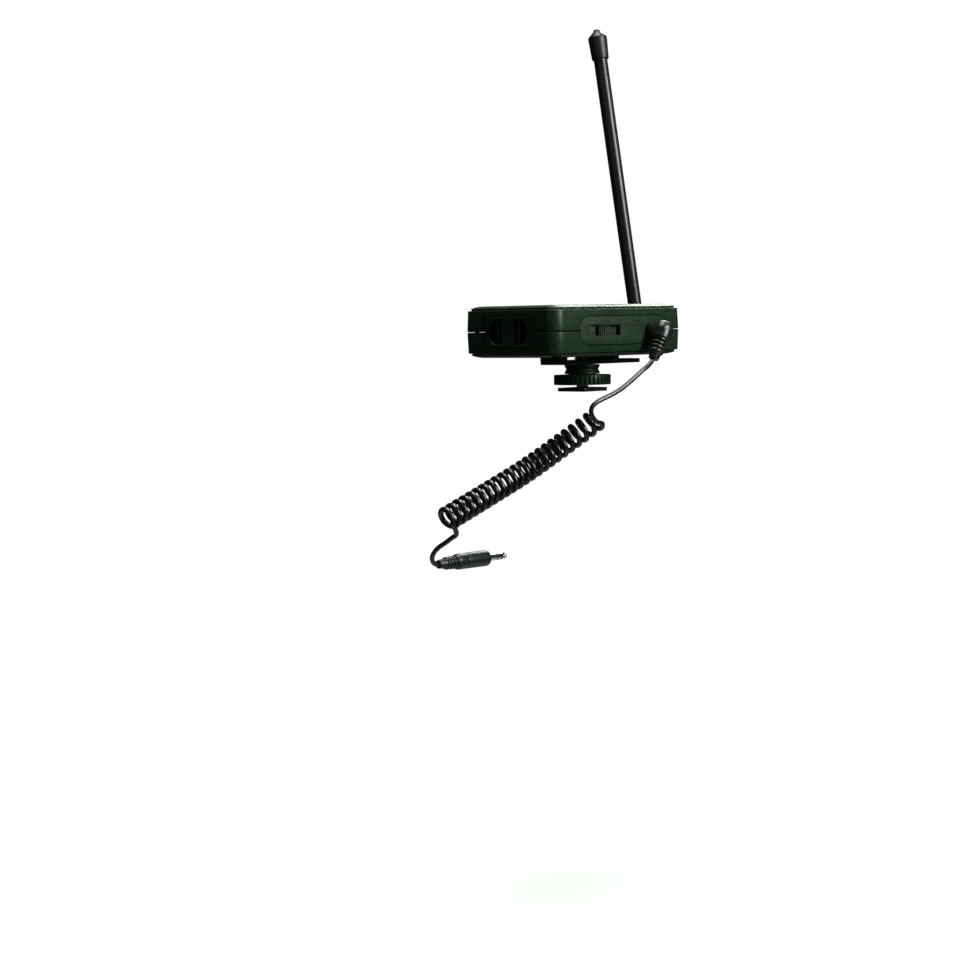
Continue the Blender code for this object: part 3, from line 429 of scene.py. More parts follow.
def upright(x, y, z):
    """Frame of a plate that stands in the XZ plane, its face towards -Y."""
    return Matrix.Translation(metres((x, y, z))) @ Matrix.Rotation(math.pi / 2, 4, "X")


# ---------------------------------------------------------------- case
# (height from the seam, inset from the outline): outside of a case half, and its hollow
SHELL_PROFILE = ((0.10, 2.6), (0.10, 0.62), (0.40, 0.0), (11.0, 0.45), (11.1, 2.2), (11.5, 2.2), (11.7, 1.8),
                 (12.1, 1.95), (12.9, 4.1), (CASE_HALF_DEPTH, 6.6), (CASE_HALF_DEPTH, 9.0))
CAVITY_PROFILE = ((-1.0, 2.2), (9.4, 2.5), (10.3, 3.8), (11.2, 5.8))
PANEL_CORNER = 6.6
PANEL_HOLE_Y = -31.0
POWER_WINDOW_Y = (-12.4, -3.6)
SCREW_SINK = (3.2, 2.8)         # depth and radius


def case_loops(profile, side):
    loops = []
    for height, inset in profile:
        outline = rounded_rectangle(CASE_HALF_LENGTH - inset, CASE_HALF_WIDTH - inset,
                                    max(CASE_CORNER - inset * 0.8, 1.2), 12)
        loops.append([(CASE_MID.x + x, CASE_MID.y + y, SEAM_Z + side * height) for x, y in outline])
    return loops


def panel_outline(margin):
    half_x = (PANEL_HIGH.x - PANEL_LOW.x) / 2
    half_z = (PANEL_HIGH.z - PANEL_LOW.z) / 2
    return rounded_rectangle(half_x + margin, half_z + margin, PANEL_CORNER + margin, 10)


def make_case_half(name, node, side):
    """One moulded half: rounded plan, a shallow V at the seam, a groove round the sloped face plate."""
    profile = rounded(SHELL_PROFILE, 0.35, 3)
    half = add_object(name, loft_mesh(name, case_loops(profile, side)), "case", "receiver")
    mouth_low = (TRAY_LOW.x - 3, TRAY_LOW.y - GAP, TRAY_LOW.z - GAP)
    mouth_high = (TRAY_LOW.x + 4, TRAY_HIGH.y + GAP, TRAY_HIGH.z + GAP)
    panel_frame = upright((PANEL_LOW.x + PANEL_HIGH.x) / 2, PANEL_HOLE_Y, SEAM_Z)
    end_low, end_high = FRONT_HIGH.x - 5, FRONT_HIGH.x + 3
    bushing = ((end_low, ANTENNA_PIVOT.y, SEAM_Z), (end_high, ANTENNA_PIVOT.y, SEAM_Z))
    cut(half,
        loft_mesh("cavity", case_loops(CAVITY_PROFILE, side)),
        block_mesh("mouth", mouth_low, mouth_high),
        placed(plate_mesh("panel_hole", [panel_outline(0.35)], 5.0), panel_frame),
        rod_mesh("bushing_hole", *bushing, 3.5),
        block_mesh("switch_window", (end_low, POWER_WINDOW_Y[0], SEAM_Z - 1.7),
                   (end_high, POWER_WINDOW_Y[1], SEAM_Z + 1.7)))
    for node_name in ("power_lens", "signal_lens"):
        low, high = node_box(node_name)
        y = (low.y + high.y) / 2
        cut(half, rod_mesh("lens_hole", (end_low, y, SEAM_Z), (end_high, y, SEAM_Z), 1.8))
    if side < 0:
        cut_screw_holes(half)
    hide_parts(node)
    return half


def cut_screw_holes(half):
    bottom = REAR_LOW.z
    depth, radius = SCREW_SINK
    for index in range(4):
        low, high = node_box(f"case_screw_{index + 1}")
        x, y = (low.x + high.x) / 2, (low.y + high.y) / 2
        cut(half, rod_mesh("sink", (x, y, bottom - 1), (x, y, bottom + depth), radius))


def make_case():
    make_case_half("case_front", "front_shell", 1)
    make_case_half("case_rear", "rear_shell", -1)


# ---------------------------------------------------------------- jack side
WINDOW_MID_X = -18.3
WINDOW_HALF = (11.9, 2.6)
CHANNEL_PITCH = 6.1
JACK_HOLE_RADIUS = 3.5
NUMERAL_HEIGHT = 2.3
NUMERAL_DROP = 4.9              # below the seam
MARK_RISE = 4.6                 # above the seam


def make_side_panel():
    middle = (PANEL_LOW.x + PANEL_HIGH.x) / 2
    thickness = PANEL_HIGH.y - PANEL_LOW.y
    edge = 0.22
    window = [(x + WINDOW_MID_X - middle, z) for x, z in
              rounded_rectangle(WINDOW_HALF[0] + edge, WINDOW_HALF[1] + edge, 0.6, 4)]
    jack = arc((JACK_X - middle, JACK_Z - SEAM_Z), JACK_HOLE_RADIUS + edge, 0, 350, 35)
    mesh = plate_mesh("panel_face", [panel_outline(-edge), window, jack], thickness, edge)
    placed(mesh, upright(middle, (PANEL_LOW.y + PANEL_HIGH.y) / 2, SEAM_Z))
    panel = smooth(add_object("panel_face", mesh, "panel", "receiver"))
    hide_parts("side_panel")
    for index in range(4):
        make_numeral(str(index + 1), WINDOW_MID_X + (index - 1.5) * CHANNEL_PITCH, SEAM_Z - NUMERAL_DROP)
    make_wave_mark(WINDOW_MID_X + 0.6, SEAM_Z + MARK_RISE)
    make_output_mark(JACK_X - 12.0, SEAM_Z + MARK_RISE)


def make_numeral(text, x, z):
    curve = bpy.data.curves.new("numeral", "FONT")
    curve.body = text
    curve.size = NUMERAL_HEIGHT * MM
    curve.extrude = 0.03 * MM
    curve.align_x = "CENTER"
    curve.align_y = "CENTER"
    mesh = placed(curve_to_mesh("numeral_" + text, curve), upright(x, PANEL_LOW.y - 0.03, z))
    add_object("numeral_" + text, mesh, "ink", "receiver")


def mark_strokes(name, strokes, width):
    """Thin printed lines on the panel, each a flat ribbon with round ends."""
    for index, points in enumerate(strokes):
        curve = bpy.data.curves.new(name, "CURVE")
        curve.dimensions = "3D"
        curve.bevel_depth = width * MM
        curve.bevel_resolution = 2
        curve.use_fill_caps = True
        spline = curve.splines.new("POLY")
        spline.points.add(len(points) - 1)
        for point, (x, z) in zip(spline.points, points):
            point.co = (x * MM, 0.0, z * MM, 1.0)
        mesh = curve_to_mesh(f"{name}_{index + 1}", curve)
        squash = Matrix.Diagonal((1.0, 0.3, 1.0, 1.0))
        placed(mesh, Matrix.Translation(metres((0, PANEL_LOW.y, 0))) @ squash)
        smooth(add_object(f"{name}_{index + 1}", mesh, "ink", "receiver"))


def make_wave_mark(x, z):
    """A plain sine wave over the channel switch."""
    wave = [(x - 3.2 + 6.4 * i / 32, z + 0.75 * math.sin(2 * math.pi * 2 * i / 32)) for i in range(33)]
    mark_strokes("wave_mark", [wave], 0.2)


def make_output_mark(x, z):
    """An arrow out of a bar, for the audio output."""
    mark_strokes("output_mark", [
        [(x - 2.6, z - 1.0), (x - 2.6, z + 1.0)],
        [(x - 1.6, z), (x + 2.2, z)],
        [(x + 1.1, z + 0.9), (x + 2.3, z), (x + 1.1, z - 0.9)],
    ], 0.22)


def make_channel_slider():
    """Slider flange behind the window, and the ridged knob that stands through it."""
    body, slot = "channel_slider", "knob_plastic"
    front, back = -30.7, -29.9
    flange = block("channel_knob", (SLIDER_LOW.x, front, SLIDER_LOW.z), (SLIDER_HIGH.x, back, SLIDER_HIGH.z),
                   0.15, "knob", body)
    half, tip, depth = 2.45, -32.85, -32.2
    root = (front + back) / 2
    outline = [(-half, root), (-half, tip)]
    for groove in (-1.5, 0.0, 1.5):
        outline += [(groove - 0.36, tip), (groove - 0.30, depth)]
        outline += [(groove + 0.30, depth), (groove + 0.36, tip)]
    outline += [(half, tip), (half, root)]
    knob = plate_mesh("knob_comb", [rounded(outline, 0.12, 2, closed=True)], 4.6, 0.0)
    placed(knob, Matrix.Translation(metres((KNOB_X, 0, SEAM_Z))))
    join(flange, knob)
    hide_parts("channel_slider")


# ---------------------------------------------------------------- antenna end
def make_power_switch():
    end = FRONT_HIGH.x
    slider = block("power_knob", (end - 3.0, -12.6, SEAM_Z - 2.6), (end - 2.4, -5.4, SEAM_Z + 2.6), 0.1,
                   "knob", "power_slider")
    tip, base = end + 0.65, end - 2.7
    outline = [(base, -11.8), (tip, -11.8)]
    for y in (-10.9, -10.0, -9.1):
        outline += [(tip, y - 0.25), (tip - 0.45, y - 0.18), (tip - 0.45, y + 0.18), (tip, y + 0.25)]
    outline += [(tip, -8.2), (base, -8.2)]
    knob = plate_mesh("power_comb", [rounded(outline, 0.12, 2, closed=True)], 2.6, 0.0)
    join(slider, placed(knob, Matrix.Translation(metres((0, 0, SEAM_Z)))))
    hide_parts("power_slider")


ANTENNA_FRAME = Matrix.Translation(metres(ANTENNA_PIVOT)) @ Matrix.Rotation(-ANTENNA_LEAN, 4, "X")
ZERO = (0, 0, 0)
ALONG_X = (1, 0, 0)
ALONG_Z = (0, 0, 1)


def make_antenna_base():
    low, high = node_box("antenna_bushing")
    length = high.x - low.x
    profile = [(3.6, length), (4.0, length - 0.35), (4.0, length - 2.7), (3.2, length - 2.7), (3.2, 0.0),
               (2.3, 0.0), (2.3, length)]
    bushing = turned("bushing", profile, (low.x, ANTENNA_PIVOT.y, SEAM_Z), (90, ANTENNA_PIVOT.y, SEAM_Z),
                     "black_metal", "receiver", 0.2, ring=True)
    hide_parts("antenna_bushing")


def make_fork():
    """Chrome swivel stem: the slotted fork for the rod, a dark-banded barrel and the stem in the bushing."""
    profile = [(0, 2.7), (1.5, 2.55), (2.35, 1.7), (2.7, 0.0), (2.7, -3.4), (3.1, -3.9), (3.1, -5.2),
               (2.85, -5.4), (2.85, -10.2), (3.1, -10.4), (3.1, -11.5), (2.9, -11.7), (3.3, -11.95),
               (3.3, -14.5), (1.9, -14.6), (1.9, -22.0), (0, -22.0)]
    fork = turned("fork", profile, ZERO, ALONG_X, "chrome", "antenna_swivel", 0.2,
                  base=ANTENNA_FRAME)
    cut(fork, placed(block_mesh("slot", (-3.2, -1.1, -4), (4, 1.1, 4)), ANTENNA_FRAME),
        placed(rod_mesh("pin_hole", (0, -4, 0), (0, 4, 0), 1.05), ANTENNA_FRAME))
    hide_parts("swivel_fork")
    turned("fork_band", [(2.98, -5.5), (2.98, -10.1), (2.7, -10.1), (2.7, -5.5)], ZERO, ALONG_X,
           "black_metal", "antenna_swivel", 0.08, ring=True, base=ANTENNA_FRAME)


def make_rod():
    body = "antenna_rod"
    profile = [(0, 10.6), (3.1, 10.6), (3.1, 9.7), (2.8, 9.5), (2.8, 8.6), (3.1, 8.4), (3.1, 6.5),
               (2.7, 5.95), (0, 5.9)]
    knuckle = turned("knuckle", profile, ZERO, ALONG_Z, "chrome", body, 0.15, base=ANTENNA_FRAME)
    blade = block_mesh("blade", (-2.5, -0.8, 0), (2.5, 0.8, 6.4))
    join(knuckle, placed(blade, ANTENNA_FRAME),
         placed(rod_mesh("eye", (0, -0.8, 0), (0, 0.8, 0), 2.5, 40), ANTENNA_FRAME))
    cut(knuckle, placed(rod_mesh("pin_hole", (0, -2, 0), (0, 2, 0), 1.05), ANTENNA_FRAME))
    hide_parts("antenna_knuckle")
    profile = [(3.8, 162.2), (3.8, 10.9), (1.4, 10.9), (1.4, 162.2)]
    sleeve = turned("rod_sleeve", profile, ZERO, ALONG_Z, "sleeve", body, 0.5, ring=True,
                    base=ANTENNA_FRAME)
    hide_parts("antenna_sleeve")
    profile = [(0, 168.55), (1.3, 168.5), (1.9, 167.8), (2.0, 167.1), (2.3, 166.9), (5.0, 164.3),
               (5.3, 163.6), (4.95, 156.4), (4.7, 151.7), (4.1, 151.7), (4.1, 162.5), (0, 162.5)]
    cap = turned("rod_cap", profile, ZERO, ALONG_Z, "cap", body, 0.35, base=ANTENNA_FRAME)
    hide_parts("antenna_cap")


# ---------------------------------------------------------------- battery end
RECESS_NEAR, RECESS_RADIUS, RECESS_STRAIGHT = 4.55, 6.65, 2.3


def recess_outline(side, margin):
    """D shape, flat towards the middle of the tray, with softened corners."""
    near = RECESS_NEAR - margin
    radius = RECESS_RADIUS + margin
    centre = RECESS_NEAR + RECESS_STRAIGHT
    outline = [(near, -radius + 1.0), (near + 0.3, -radius + 0.3), (near + 1.0, -radius)]
    outline += arc((centre, 0), radius, -90, 90, 22)
    outline += [(near + 1.0, radius), (near + 0.3, radius - 0.3), (near, radius - 1.0)]
    if side < 0:
        outline = [(-x, z) for x, z in outline[::-1]]
    return outline


def make_battery_tray():
    body, slot = "battery_tray", "case_plastic"
    half_y = (TRAY_HIGH.y - TRAY_LOW.y) / 2
    half_z = (TRAY_HIGH.z - TRAY_LOW.z) / 2
    edge, depth = 0.45, 5.0
    floor_x = TRAY_LOW.x + depth
    outlines = [rounded_rectangle(half_y - edge, half_z - edge, 0.8, 5)]
    outlines += [recess_outline(side, edge) for side in (-1, 1)]
    mesh = plate_mesh("tray_front", outlines, depth, edge)
    stand = Matrix(((0, 0, 1, 0), (1, 0, 0, 0), (0, 1, 0, 0), (0, 0, 0, 1)))
    placed(mesh, Matrix.Translation(metres((TRAY_LOW.x + depth / 2, TRAY_Y, SEAM_Z))) @ stand)
    front = smooth(add_object("tray_front", mesh, "case", body))
    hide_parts("battery_tray")
    tray = block("tray_body", (floor_x, TRAY_LOW.y, TRAY_LOW.z), TRAY_HIGH, 0.3, "case", body)
    wall = 1.1
    cut(tray, block_mesh("trough", (TRAY_LOW.x + 8.2, TRAY_LOW.y + wall, TRAY_LOW.z + 0.5),
                         (10, TRAY_HIGH.y - wall, 50)),
        block_mesh("slots", (floor_x - 1, TRAY_LOW.y - 1, SEAM_Z - 2.3),
                   (TRAY_LOW.x + 7.2, TRAY_HIGH.y + 1, SEAM_Z + 2.3)))
    for side in (-1, 1):
        name = "latch_left" if side > 0 else "latch_right"
        low, high = node_box(name)
        near, far = TRAY_Y + side * 6.4, TRAY_Y + side * 7.9
        peg_x = TRAY_LOW.x + 2.75
        tab = block(name + "_tab", (low.x, min(near, far), low.z),
                    (floor_x - GAP, max(near, far), high.z), 0.35, "knob", name)
        arm_y = sorted((TRAY_Y + side * 6.5, TRAY_Y + side * 15.8))
        join(tab, block_mesh("arm", (TRAY_LOW.x + 4.6, arm_y[0], SEAM_Z - 2.0),
                             (TRAY_LOW.x + 6.9, arm_y[1], SEAM_Z + 2.0), 0.2),
             rod_mesh("peg", (peg_x, TRAY_Y + side * 6.8, SEAM_Z), (peg_x, TRAY_Y + side * 3.4, SEAM_Z), 0.9))
        for k in range(4):
            z = SEAM_Z - 3.0 + 2.0 * k
            cut(tab, block_mesh("grip", (low.x - 1, near - 3, z - 0.25), (low.x + 0.4, near + 3, z + 0.25)))
        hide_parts(name)


def make_cells():
    for index, side in enumerate((-1, 1)):
        node = f"battery_{index + 1}"
        low, high = node_box(node)
        y, z = (low.y + high.y) / 2, (low.z + high.z) / 2
        start, end = (low.x, y, z), (high.x, y, z)
        if side > 0:
            start, end = end, start
        length = high.x - low.x - 1.2
        profile = [(0, length + 1.2), (2.7, length + 1.2), (2.7, length), (6.5, length), (7.1, length - 0.7),
                   (7.1, 0.7), (6.5, 0.0), (4.6, 0.0), (4.4, 0.25), (0, 0.25)]
        cell = turned(node + "_cell", profile, start, end, "cell", "battery_tray", 0.25, 40)
        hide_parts(node)
        cell.data.materials.append(LOOKS["cell_band"])
        cell.data.materials.append(LOOKS["steel"])
        origin = metres(start)
        direction = (metres(end) - origin).normalized()
        for face in cell.data.polygons:
            height = (face.center - origin).dot(direction) / MM
            radius = (face.center - origin - direction * height * MM).length / MM
            if radius > 6.9 and height > length - 14:
                face.material_index = 1
            elif radius < 6.4:
                face.material_index = 2


# ---------------------------------------------------------------- belt clip and shoe adapter
def make_belt_clip():
    """Sprung leaf with a lip, a knuckle on the pin and a ribbed thumb pad."""
    body, slot = "shoe_adapter", "case_plastic"
    bottom, top, wide, narrow = CLIP_LOW.z, CLIP_LOW.z + 2.2, 9.0, 7.2
    edge = 0.3
    neck, pad, end, tip = BRACKET_LOW.x - 0.7, 21.0, CLIP_HIGH.x, CLIP_LOW.x
    outline = [(end - 3 + dx, wide - 3 + dy) for dx, dy in arc((0, 0), 3, 0, 90, 8)]
    outline += [(pad, wide), (pad, narrow), (neck, narrow), (neck, wide)]
    outline += [(tip + 1 + dx, wide - 1 + dy) for dx, dy in arc((0, 0), 1, 90, 180, 4)]
    outline += [(x, -y) for x, y in outline[::-1]]
    middle = (tip + end) / 2
    inset = []
    for x, y in outline:
        near_an_end = abs(x - middle) > 20
        inset.append((x - math.copysign(edge, x - middle) * near_an_end, y - math.copysign(edge, y)))
    mesh = plate_mesh("clip_leaf", [inset], top - bottom, edge)
    placed(mesh, Matrix.Translation(metres((0, 0, (top + bottom) / 2))))
    leaf = add_object("clip_leaf", mesh, "case", body)
    join(leaf,
         block_mesh("lip", (tip + 0.1, -wide + 0.3, top - 0.5), (tip + 2.4, wide - 0.3, CLIP_HIGH.z), 0.3),
         rod_mesh("knuckle", (CLIP_PIN.x, -narrow, CLIP_PIN.z), (CLIP_PIN.x, narrow, CLIP_PIN.z), 1.95, 32))
    cut(leaf, rod_mesh("bore", (CLIP_PIN.x, -12, CLIP_PIN.z), (CLIP_PIN.x, 12, CLIP_PIN.z), 1.3),
        block_mesh("notch", (CLIP_PIN.x - 2.6, -2.6, 10), (CLIP_PIN.x + 3.4, 2.6, 20)),
        rod_mesh("stud_hole", (0, 0, 10), (0, 0, 20), 3.45, 40))
    for k in range(5):
        x = pad + 5.0 + 2.4 * k
        cut(leaf, block_mesh("rib_gap", (x - 0.35, -6.5, bottom - 1), (x + 0.35, 6.5, bottom + 0.35)))
    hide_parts("belt_clip")


def make_clip_bracket():
    low, high = BRACKET_LOW, BRACKET_HIGH
    plate_low, inner = 16.8, 7.5
    screw_x, screw_y = 9, 4.8
    bracket = block("bracket", low, high, 0.3, "case", "receiver")
    cut(bracket,
        block_mesh("channel", (low.x - 1, -inner, low.z - 1), (high.x + 1, inner, plate_low)),
        block_mesh("notch", (13.5, -inner, low.z - 1), (high.x + 1, inner, high.z + 1)),
        rod_mesh("pin_hole", (CLIP_PIN.x, -12, CLIP_PIN.z), (CLIP_PIN.x, 12, CLIP_PIN.z), 1.3),
        rod_mesh("hole_1", (screw_x, -screw_y, 12), (screw_x, -screw_y, 22), 2.2),
        rod_mesh("hole_2", (screw_x, screw_y, 12), (screw_x, screw_y, 22), 2.2))
    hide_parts("clip_bracket")


def make_adapter():
    body = "shoe_adapter"
    up = (0, 0, 1)
    low, high = NECK_LOW.z, NECK_HIGH.z
    middle = (low + high) / 2
    outer = [(9.3, high), (9.3, high - 1.1)]
    outer += [(8.75 + 0.35 * math.cos(2 * math.pi * t), middle + 1.3 - 2.6 * t)
              for t in (0.0, 0.25, 0.5, 0.75, 1.0)]
    outer += [(9.3, low + 0.7), (9.3, low), (3.45, low), (3.45, high)]
    neck = turned("neck", outer, ZERO, up, "case", body, 0.25, 64, ring=True)
    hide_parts("adapter_neck")
    foot = block("foot", FOOT_LOW, FOOT_HIGH, 0.35, "black_metal", body)
    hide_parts("shoe_foot")
    make_thumbwheel()


def make_thumbwheel():
    """Wheel with square-cut ribs, wider than the gaps between them."""
    ribs, outer, inner = 38, 15.0, 14.1
    edge = 0.25
    outline = []
    for i in range(ribs):
        start = 360.0 * i / ribs
        step = 360.0 / ribs
        for share, radius in ((0.02, inner), (0.16, outer), (0.60, outer), (0.74, inner)):
            angle = math.radians(start + step * share)
            outline.append(((radius - edge) * math.cos(angle), (radius - edge) * math.sin(angle)))
    bore = arc((0, 0), 3.45 + edge, 0, 352, 44)
    thickness = WHEEL_HIGH.z - WHEEL_LOW.z
    mesh = plate_mesh("wheel", [outline, bore], thickness, edge)
    placed(mesh, Matrix.Translation(metres((0, 0, (WHEEL_LOW.z + WHEEL_HIGH.z) / 2))))
    wheel = smooth(add_object("wheel", mesh, "case", "thumbwheel"))
    cut(wheel, rod_mesh("counterbore", (0, 0, 0), (0, 0, 4.5), 10.3, 64))
    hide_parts("thumbwheel")


# ---------------------------------------------------------------- cord
WIRE_RADIUS = 1.2
PLUG_LEAN = math.radians(28.8)
PLUG_CORD_Y = -39.5
PLUG_RADIUS = 5.3
PLUG_RELIEF = (4.5, 16.4)
FAR_PLUG_START = -93.4
COIL_ROUTE = (
    (-18.9, -27.8, -12.5), (-37.8, -19.6, -25.4), (-59.5, -13.9, -37.6), (-83.9, -10.8, -47.9),
    (-110.8, -10.6, -57.3),
)
COIL_MEAN_RADIUS = 5.0
COIL_SWELL = 1.18       # the jacket is thicker in the coil than at the straight ends
COIL_TURNS = 23
LEAD_ROUTE = (
    (10.6, -39.5, 16.4), (8.8, -39.6, 14.8), (6.0, -39.7, 13.0), (2.1, -39.5, 11.0), (-2.1, -38.9, 8.2),
    (-6.8, -38.3, 5.3), (-12.0, -37.6, 2.3), (-17.8, -36.7, -0.3), (-23.2, -35.5, -2.3), (-27.5, -34.5, -4.0),
    (-30.4, -33.6, -6.1), (-31.4, -33.2, -8.9), (-29.8, -32.9, -11.8), (-27.1, -33.2, -14.3),
)
TAIL_ROUTE = (
    (-109.8, -13.2, -65.7), (-110.2, -10.2, -67.9), (-110.8, -6.3, -70.5), (-111.3, -2.1, -73.0),
    (-111.3, 1.1, -75.7), (-110.7, 3.1, -78.2), (-109.5, 4.0, -80.4), (-107.7, 4.3, -81.9),
    (-105.7, 4.4, -82.3),
)


def smooth_route(points, steps):
    route = [Vector(p) for p in points]
    ends = [2 * route[0] - route[1]] + route + [2 * route[-1] - route[-2]]
    places = []
    for a, b, c, d in zip(ends, ends[1:], ends[2:], ends[3:]):
        for i in range(steps):
            t = i / steps
            places.append(0.5 * (2 * b + (c - a) * t + (2 * a - 5 * b + 4 * c - d) * t * t
                                 + (3 * b - a - 3 * c + d) * t ** 3))
    return places + [route[-1]]


def coil_route(steps):
    """Left-handed helix along a sagging line, from the near side at its start, downwards first."""
    axis = smooth_route(COIL_ROUTE, 40)
    first, last = math.radians(18), math.radians(360 * COIL_TURNS + 20)
    count = int((last - first) / (2 * math.pi) * steps)
    places = []
    for i in range(count + 1):
        share = i / count
        angle = first + (last - first) * share
        run = 0.02 + 1.017 * (share + 0.05 * (1 - (1 - share) ** 8)) / 1.05
        step = run * (len(axis) - 1)
        index = min(int(step), len(axis) - 2)
        middle = axis[index].lerp(axis[index + 1], step - index)
        along = (axis[index + 1] - axis[index]).normalized()
        near = (Vector((0, -1, 0)) - along * along.dot(Vector((0, -1, 0)))).normalized()
        down = near.cross(along)
        places.append(middle + COIL_MEAN_RADIUS * (math.cos(angle) * near + math.sin(angle) * down))
    return places


def cord_places():
    coil = coil_route(24)
    lead = smooth_route(LEAD_ROUTE + (tuple(coil[0]), tuple(coil[6])), 6)[:-6]
    tail = smooth_route((tuple(coil[-7]), tuple(coil[-1])) + TAIL_ROUTE, 6)[6:]
    places = lead[:-1] + coil + tail[1:]
    first, last = len(lead) - 1, len(lead) - 1 + len(coil)
    swell = [min(1.0, max(0.0, min(i - first + 6, last + 6 - i) / 12)) for i in range(len(places))]
    return places, [1 + (COIL_SWELL - 1) * share for share in swell]


def make_cord():
    places, radii = cord_places()
    curve = bpy.data.curves.new("cord", "CURVE")
    curve.dimensions = "3D"
    curve.bevel_depth = WIRE_RADIUS * MM
    curve.bevel_resolution = 4
    curve.use_fill_caps = True
    spline = curve.splines.new("POLY")
    spline.points.add(len(places) - 1)
    for point, place, radius in zip(spline.points, places, radii):
        point.co = (*metres(place), 1.0)
        point.radius = radius
    spline.use_smooth = True
    cord = add_object("cord", curve, "cord", "receiver")
    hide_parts("cord_lead", "cord_coil", "cord_tail")
    return cord


def relief_profile(length, pitch, ring_radii, groove_radius, end_radius, rings):
    """Ribbed strain relief, listed from its free end down to its root."""
    first, last = ring_radii
    points = [(0, 0.0), (groove_radius, 0.0)]
    for i in range(rings):
        middle = 0.9 + pitch * i
        radius = first + (last - first) * i / (rings - 1)
        points += [(groove_radius, middle - 0.8), (radius, middle - 0.62), (radius, middle + 0.62),
                   (groove_radius, middle + 0.8)]
    points += [(end_radius, length), (0, length)]
    return points[::-1]


def make_near_plug():
    """Right-angle plug: a domed barrel on the jack's axis, a leaning barrel, and the relief below it."""
    low, high = node_box("plug_elbow")
    corner = Vector((JACK_X, PLUG_CORD_Y, JACK_Z))
    run = Vector((-math.sin(PLUG_LEAN), 0.0, -math.cos(PLUG_LEAN)))
    length = high.y - low.y
    profile = [(0, length), (3.0, length), (4.6, length - 1.4), (PLUG_RADIUS, length - 3.2), (PLUG_RADIUS, 0),
               (0, 0)]
    face = Vector((JACK_X, high.y, JACK_Z))
    elbow = turned("elbow", profile, face, face - Vector((0, 1, 0)), "plug", "receiver", 1.0)
    start = PLUG_RELIEF[0] + 0.6
    radius = PLUG_RADIUS - 0.1
    profile = [(0, start), (4.6, start), (radius, start - 0.5), (radius, -1.6), (4.6, -3.6), (2.6, -5.1),
               (0, -5.1)]
    leaning = placed(turned_mesh("leaning", rounded(profile, 0.8, 3), 48), axis_matrix(corner, corner + run))
    root = corner + run * PLUG_RELIEF[0]
    profile = relief_profile(PLUG_RELIEF[1] - PLUG_RELIEF[0], 2.2, (4.4, 4.0), 3.2, 2.7, 4)
    relief = placed(turned_mesh("relief", rounded(profile, 0.35, 3), 40), axis_matrix(root, root + run))
    join(elbow, leaning, relief)
    smooth(elbow, 40)
    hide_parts("plug_elbow")
    return elbow


def make_far_plug():
    low, high = node_box("far_plug_barrel")
    y, z = (low.y + high.y) / 2, (low.z + high.z) / 2
    start, length = FAR_PLUG_START, high.x - FAR_PLUG_START
    profile = [(0, length), (3.5, length), (4.1, length - 0.7), (4.0, 7.0), (3.8, 6.8), (3.8, 6.2),
               (4.0, 6.0), (4.0, 1.2), (3.5, 0.0), (0, 0.0)]
    barrel = turned("far_barrel", profile, (start, y, z), (0, y, z), "plug", "receiver", 0.35)
    relief_length = start + 1.0 - low.x
    ribs = relief_profile(relief_length, 2.2, (3.4, 3.2), 2.6, 2.2, 4)
    join(barrel, placed(turned_mesh("far_relief", rounded(ribs, 0.3, 3), 40),
                        axis_matrix((start + 1.0, y, z), (low.x - 5, y, z))))
    smooth(barrel, 40)
    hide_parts("far_plug_barrel")
    return barrel


def audio_pin(name, node, tip_direction, axis):
    """Plated plug pin with its tip groove and two insulating rings."""
    low, high = node_box(node)
    length = (high - low)[axis]
    centre = (low + high) / 2
    start, end = Vector(centre), Vector(centre)
    start[axis] = low[axis] if tip_direction > 0 else high[axis]
    end[axis] = high[axis] if tip_direction > 0 else low[axis]
    profile = [(0, length), (0.9, length - 0.25), (1.7, length - 1.8), (1.15, length - 2.8),
               (1.7, length - 3.4), (1.7, 0.0), (0, 0.0)]
    pin = turned(name, profile, start, end, "chrome", "receiver", 0.2, 32)
    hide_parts(node)
    rings = []
    for index, height in enumerate((length - 4.2, length - 7.2)):
        ring = [(1.74, height), (1.74, height - 0.7), (1.6, height - 0.7), (1.6, height)]
        rings.append(turned(f"{name}_ring_{index + 1}", ring, start, end, "ink", "receiver", 0.02,
                            32, ring=True))
    return [pin] + rings


# ---------------------------------------------------------------- CAD nodes that keep their shape
# look: the nodes that wear it
KEPT = {
    "panel": ("battery_bay", "channel_switch_body", "line_out_jack", "power_switch_body"),
    "lens": ("power_lens", "signal_lens"),
    "brass": ("bushing_nut", "tray_contact_strip"),
    "steel": ("fold_pin", "antenna_whip", "rf_shield_can", "contact_spring_1", "contact_spring_2",
              "latch_spring", "clip_pin", "clip_spring", "adapter_stud"),
    "black_metal": ("case_screw_1", "case_screw_2", "case_screw_3", "case_screw_4", "bracket_screw_1",
                    "bracket_screw_2"),
    "cap": ("clamp_washer",),
    "board": ("main_board", "contact_board"),
    "chip": ("audio_chip",),
}


def dress_kept_nodes():
    for look, nodes in KEPT.items():
        for node in nodes:
            for slot in frame["nodes"][node].material_slots:
                slot.material = LOOKS[look]


# ---------------------------------------------------------------- stage
FLOOR_Z = -0.26
VIEW_AZIMUTH = math.radians(45.9)


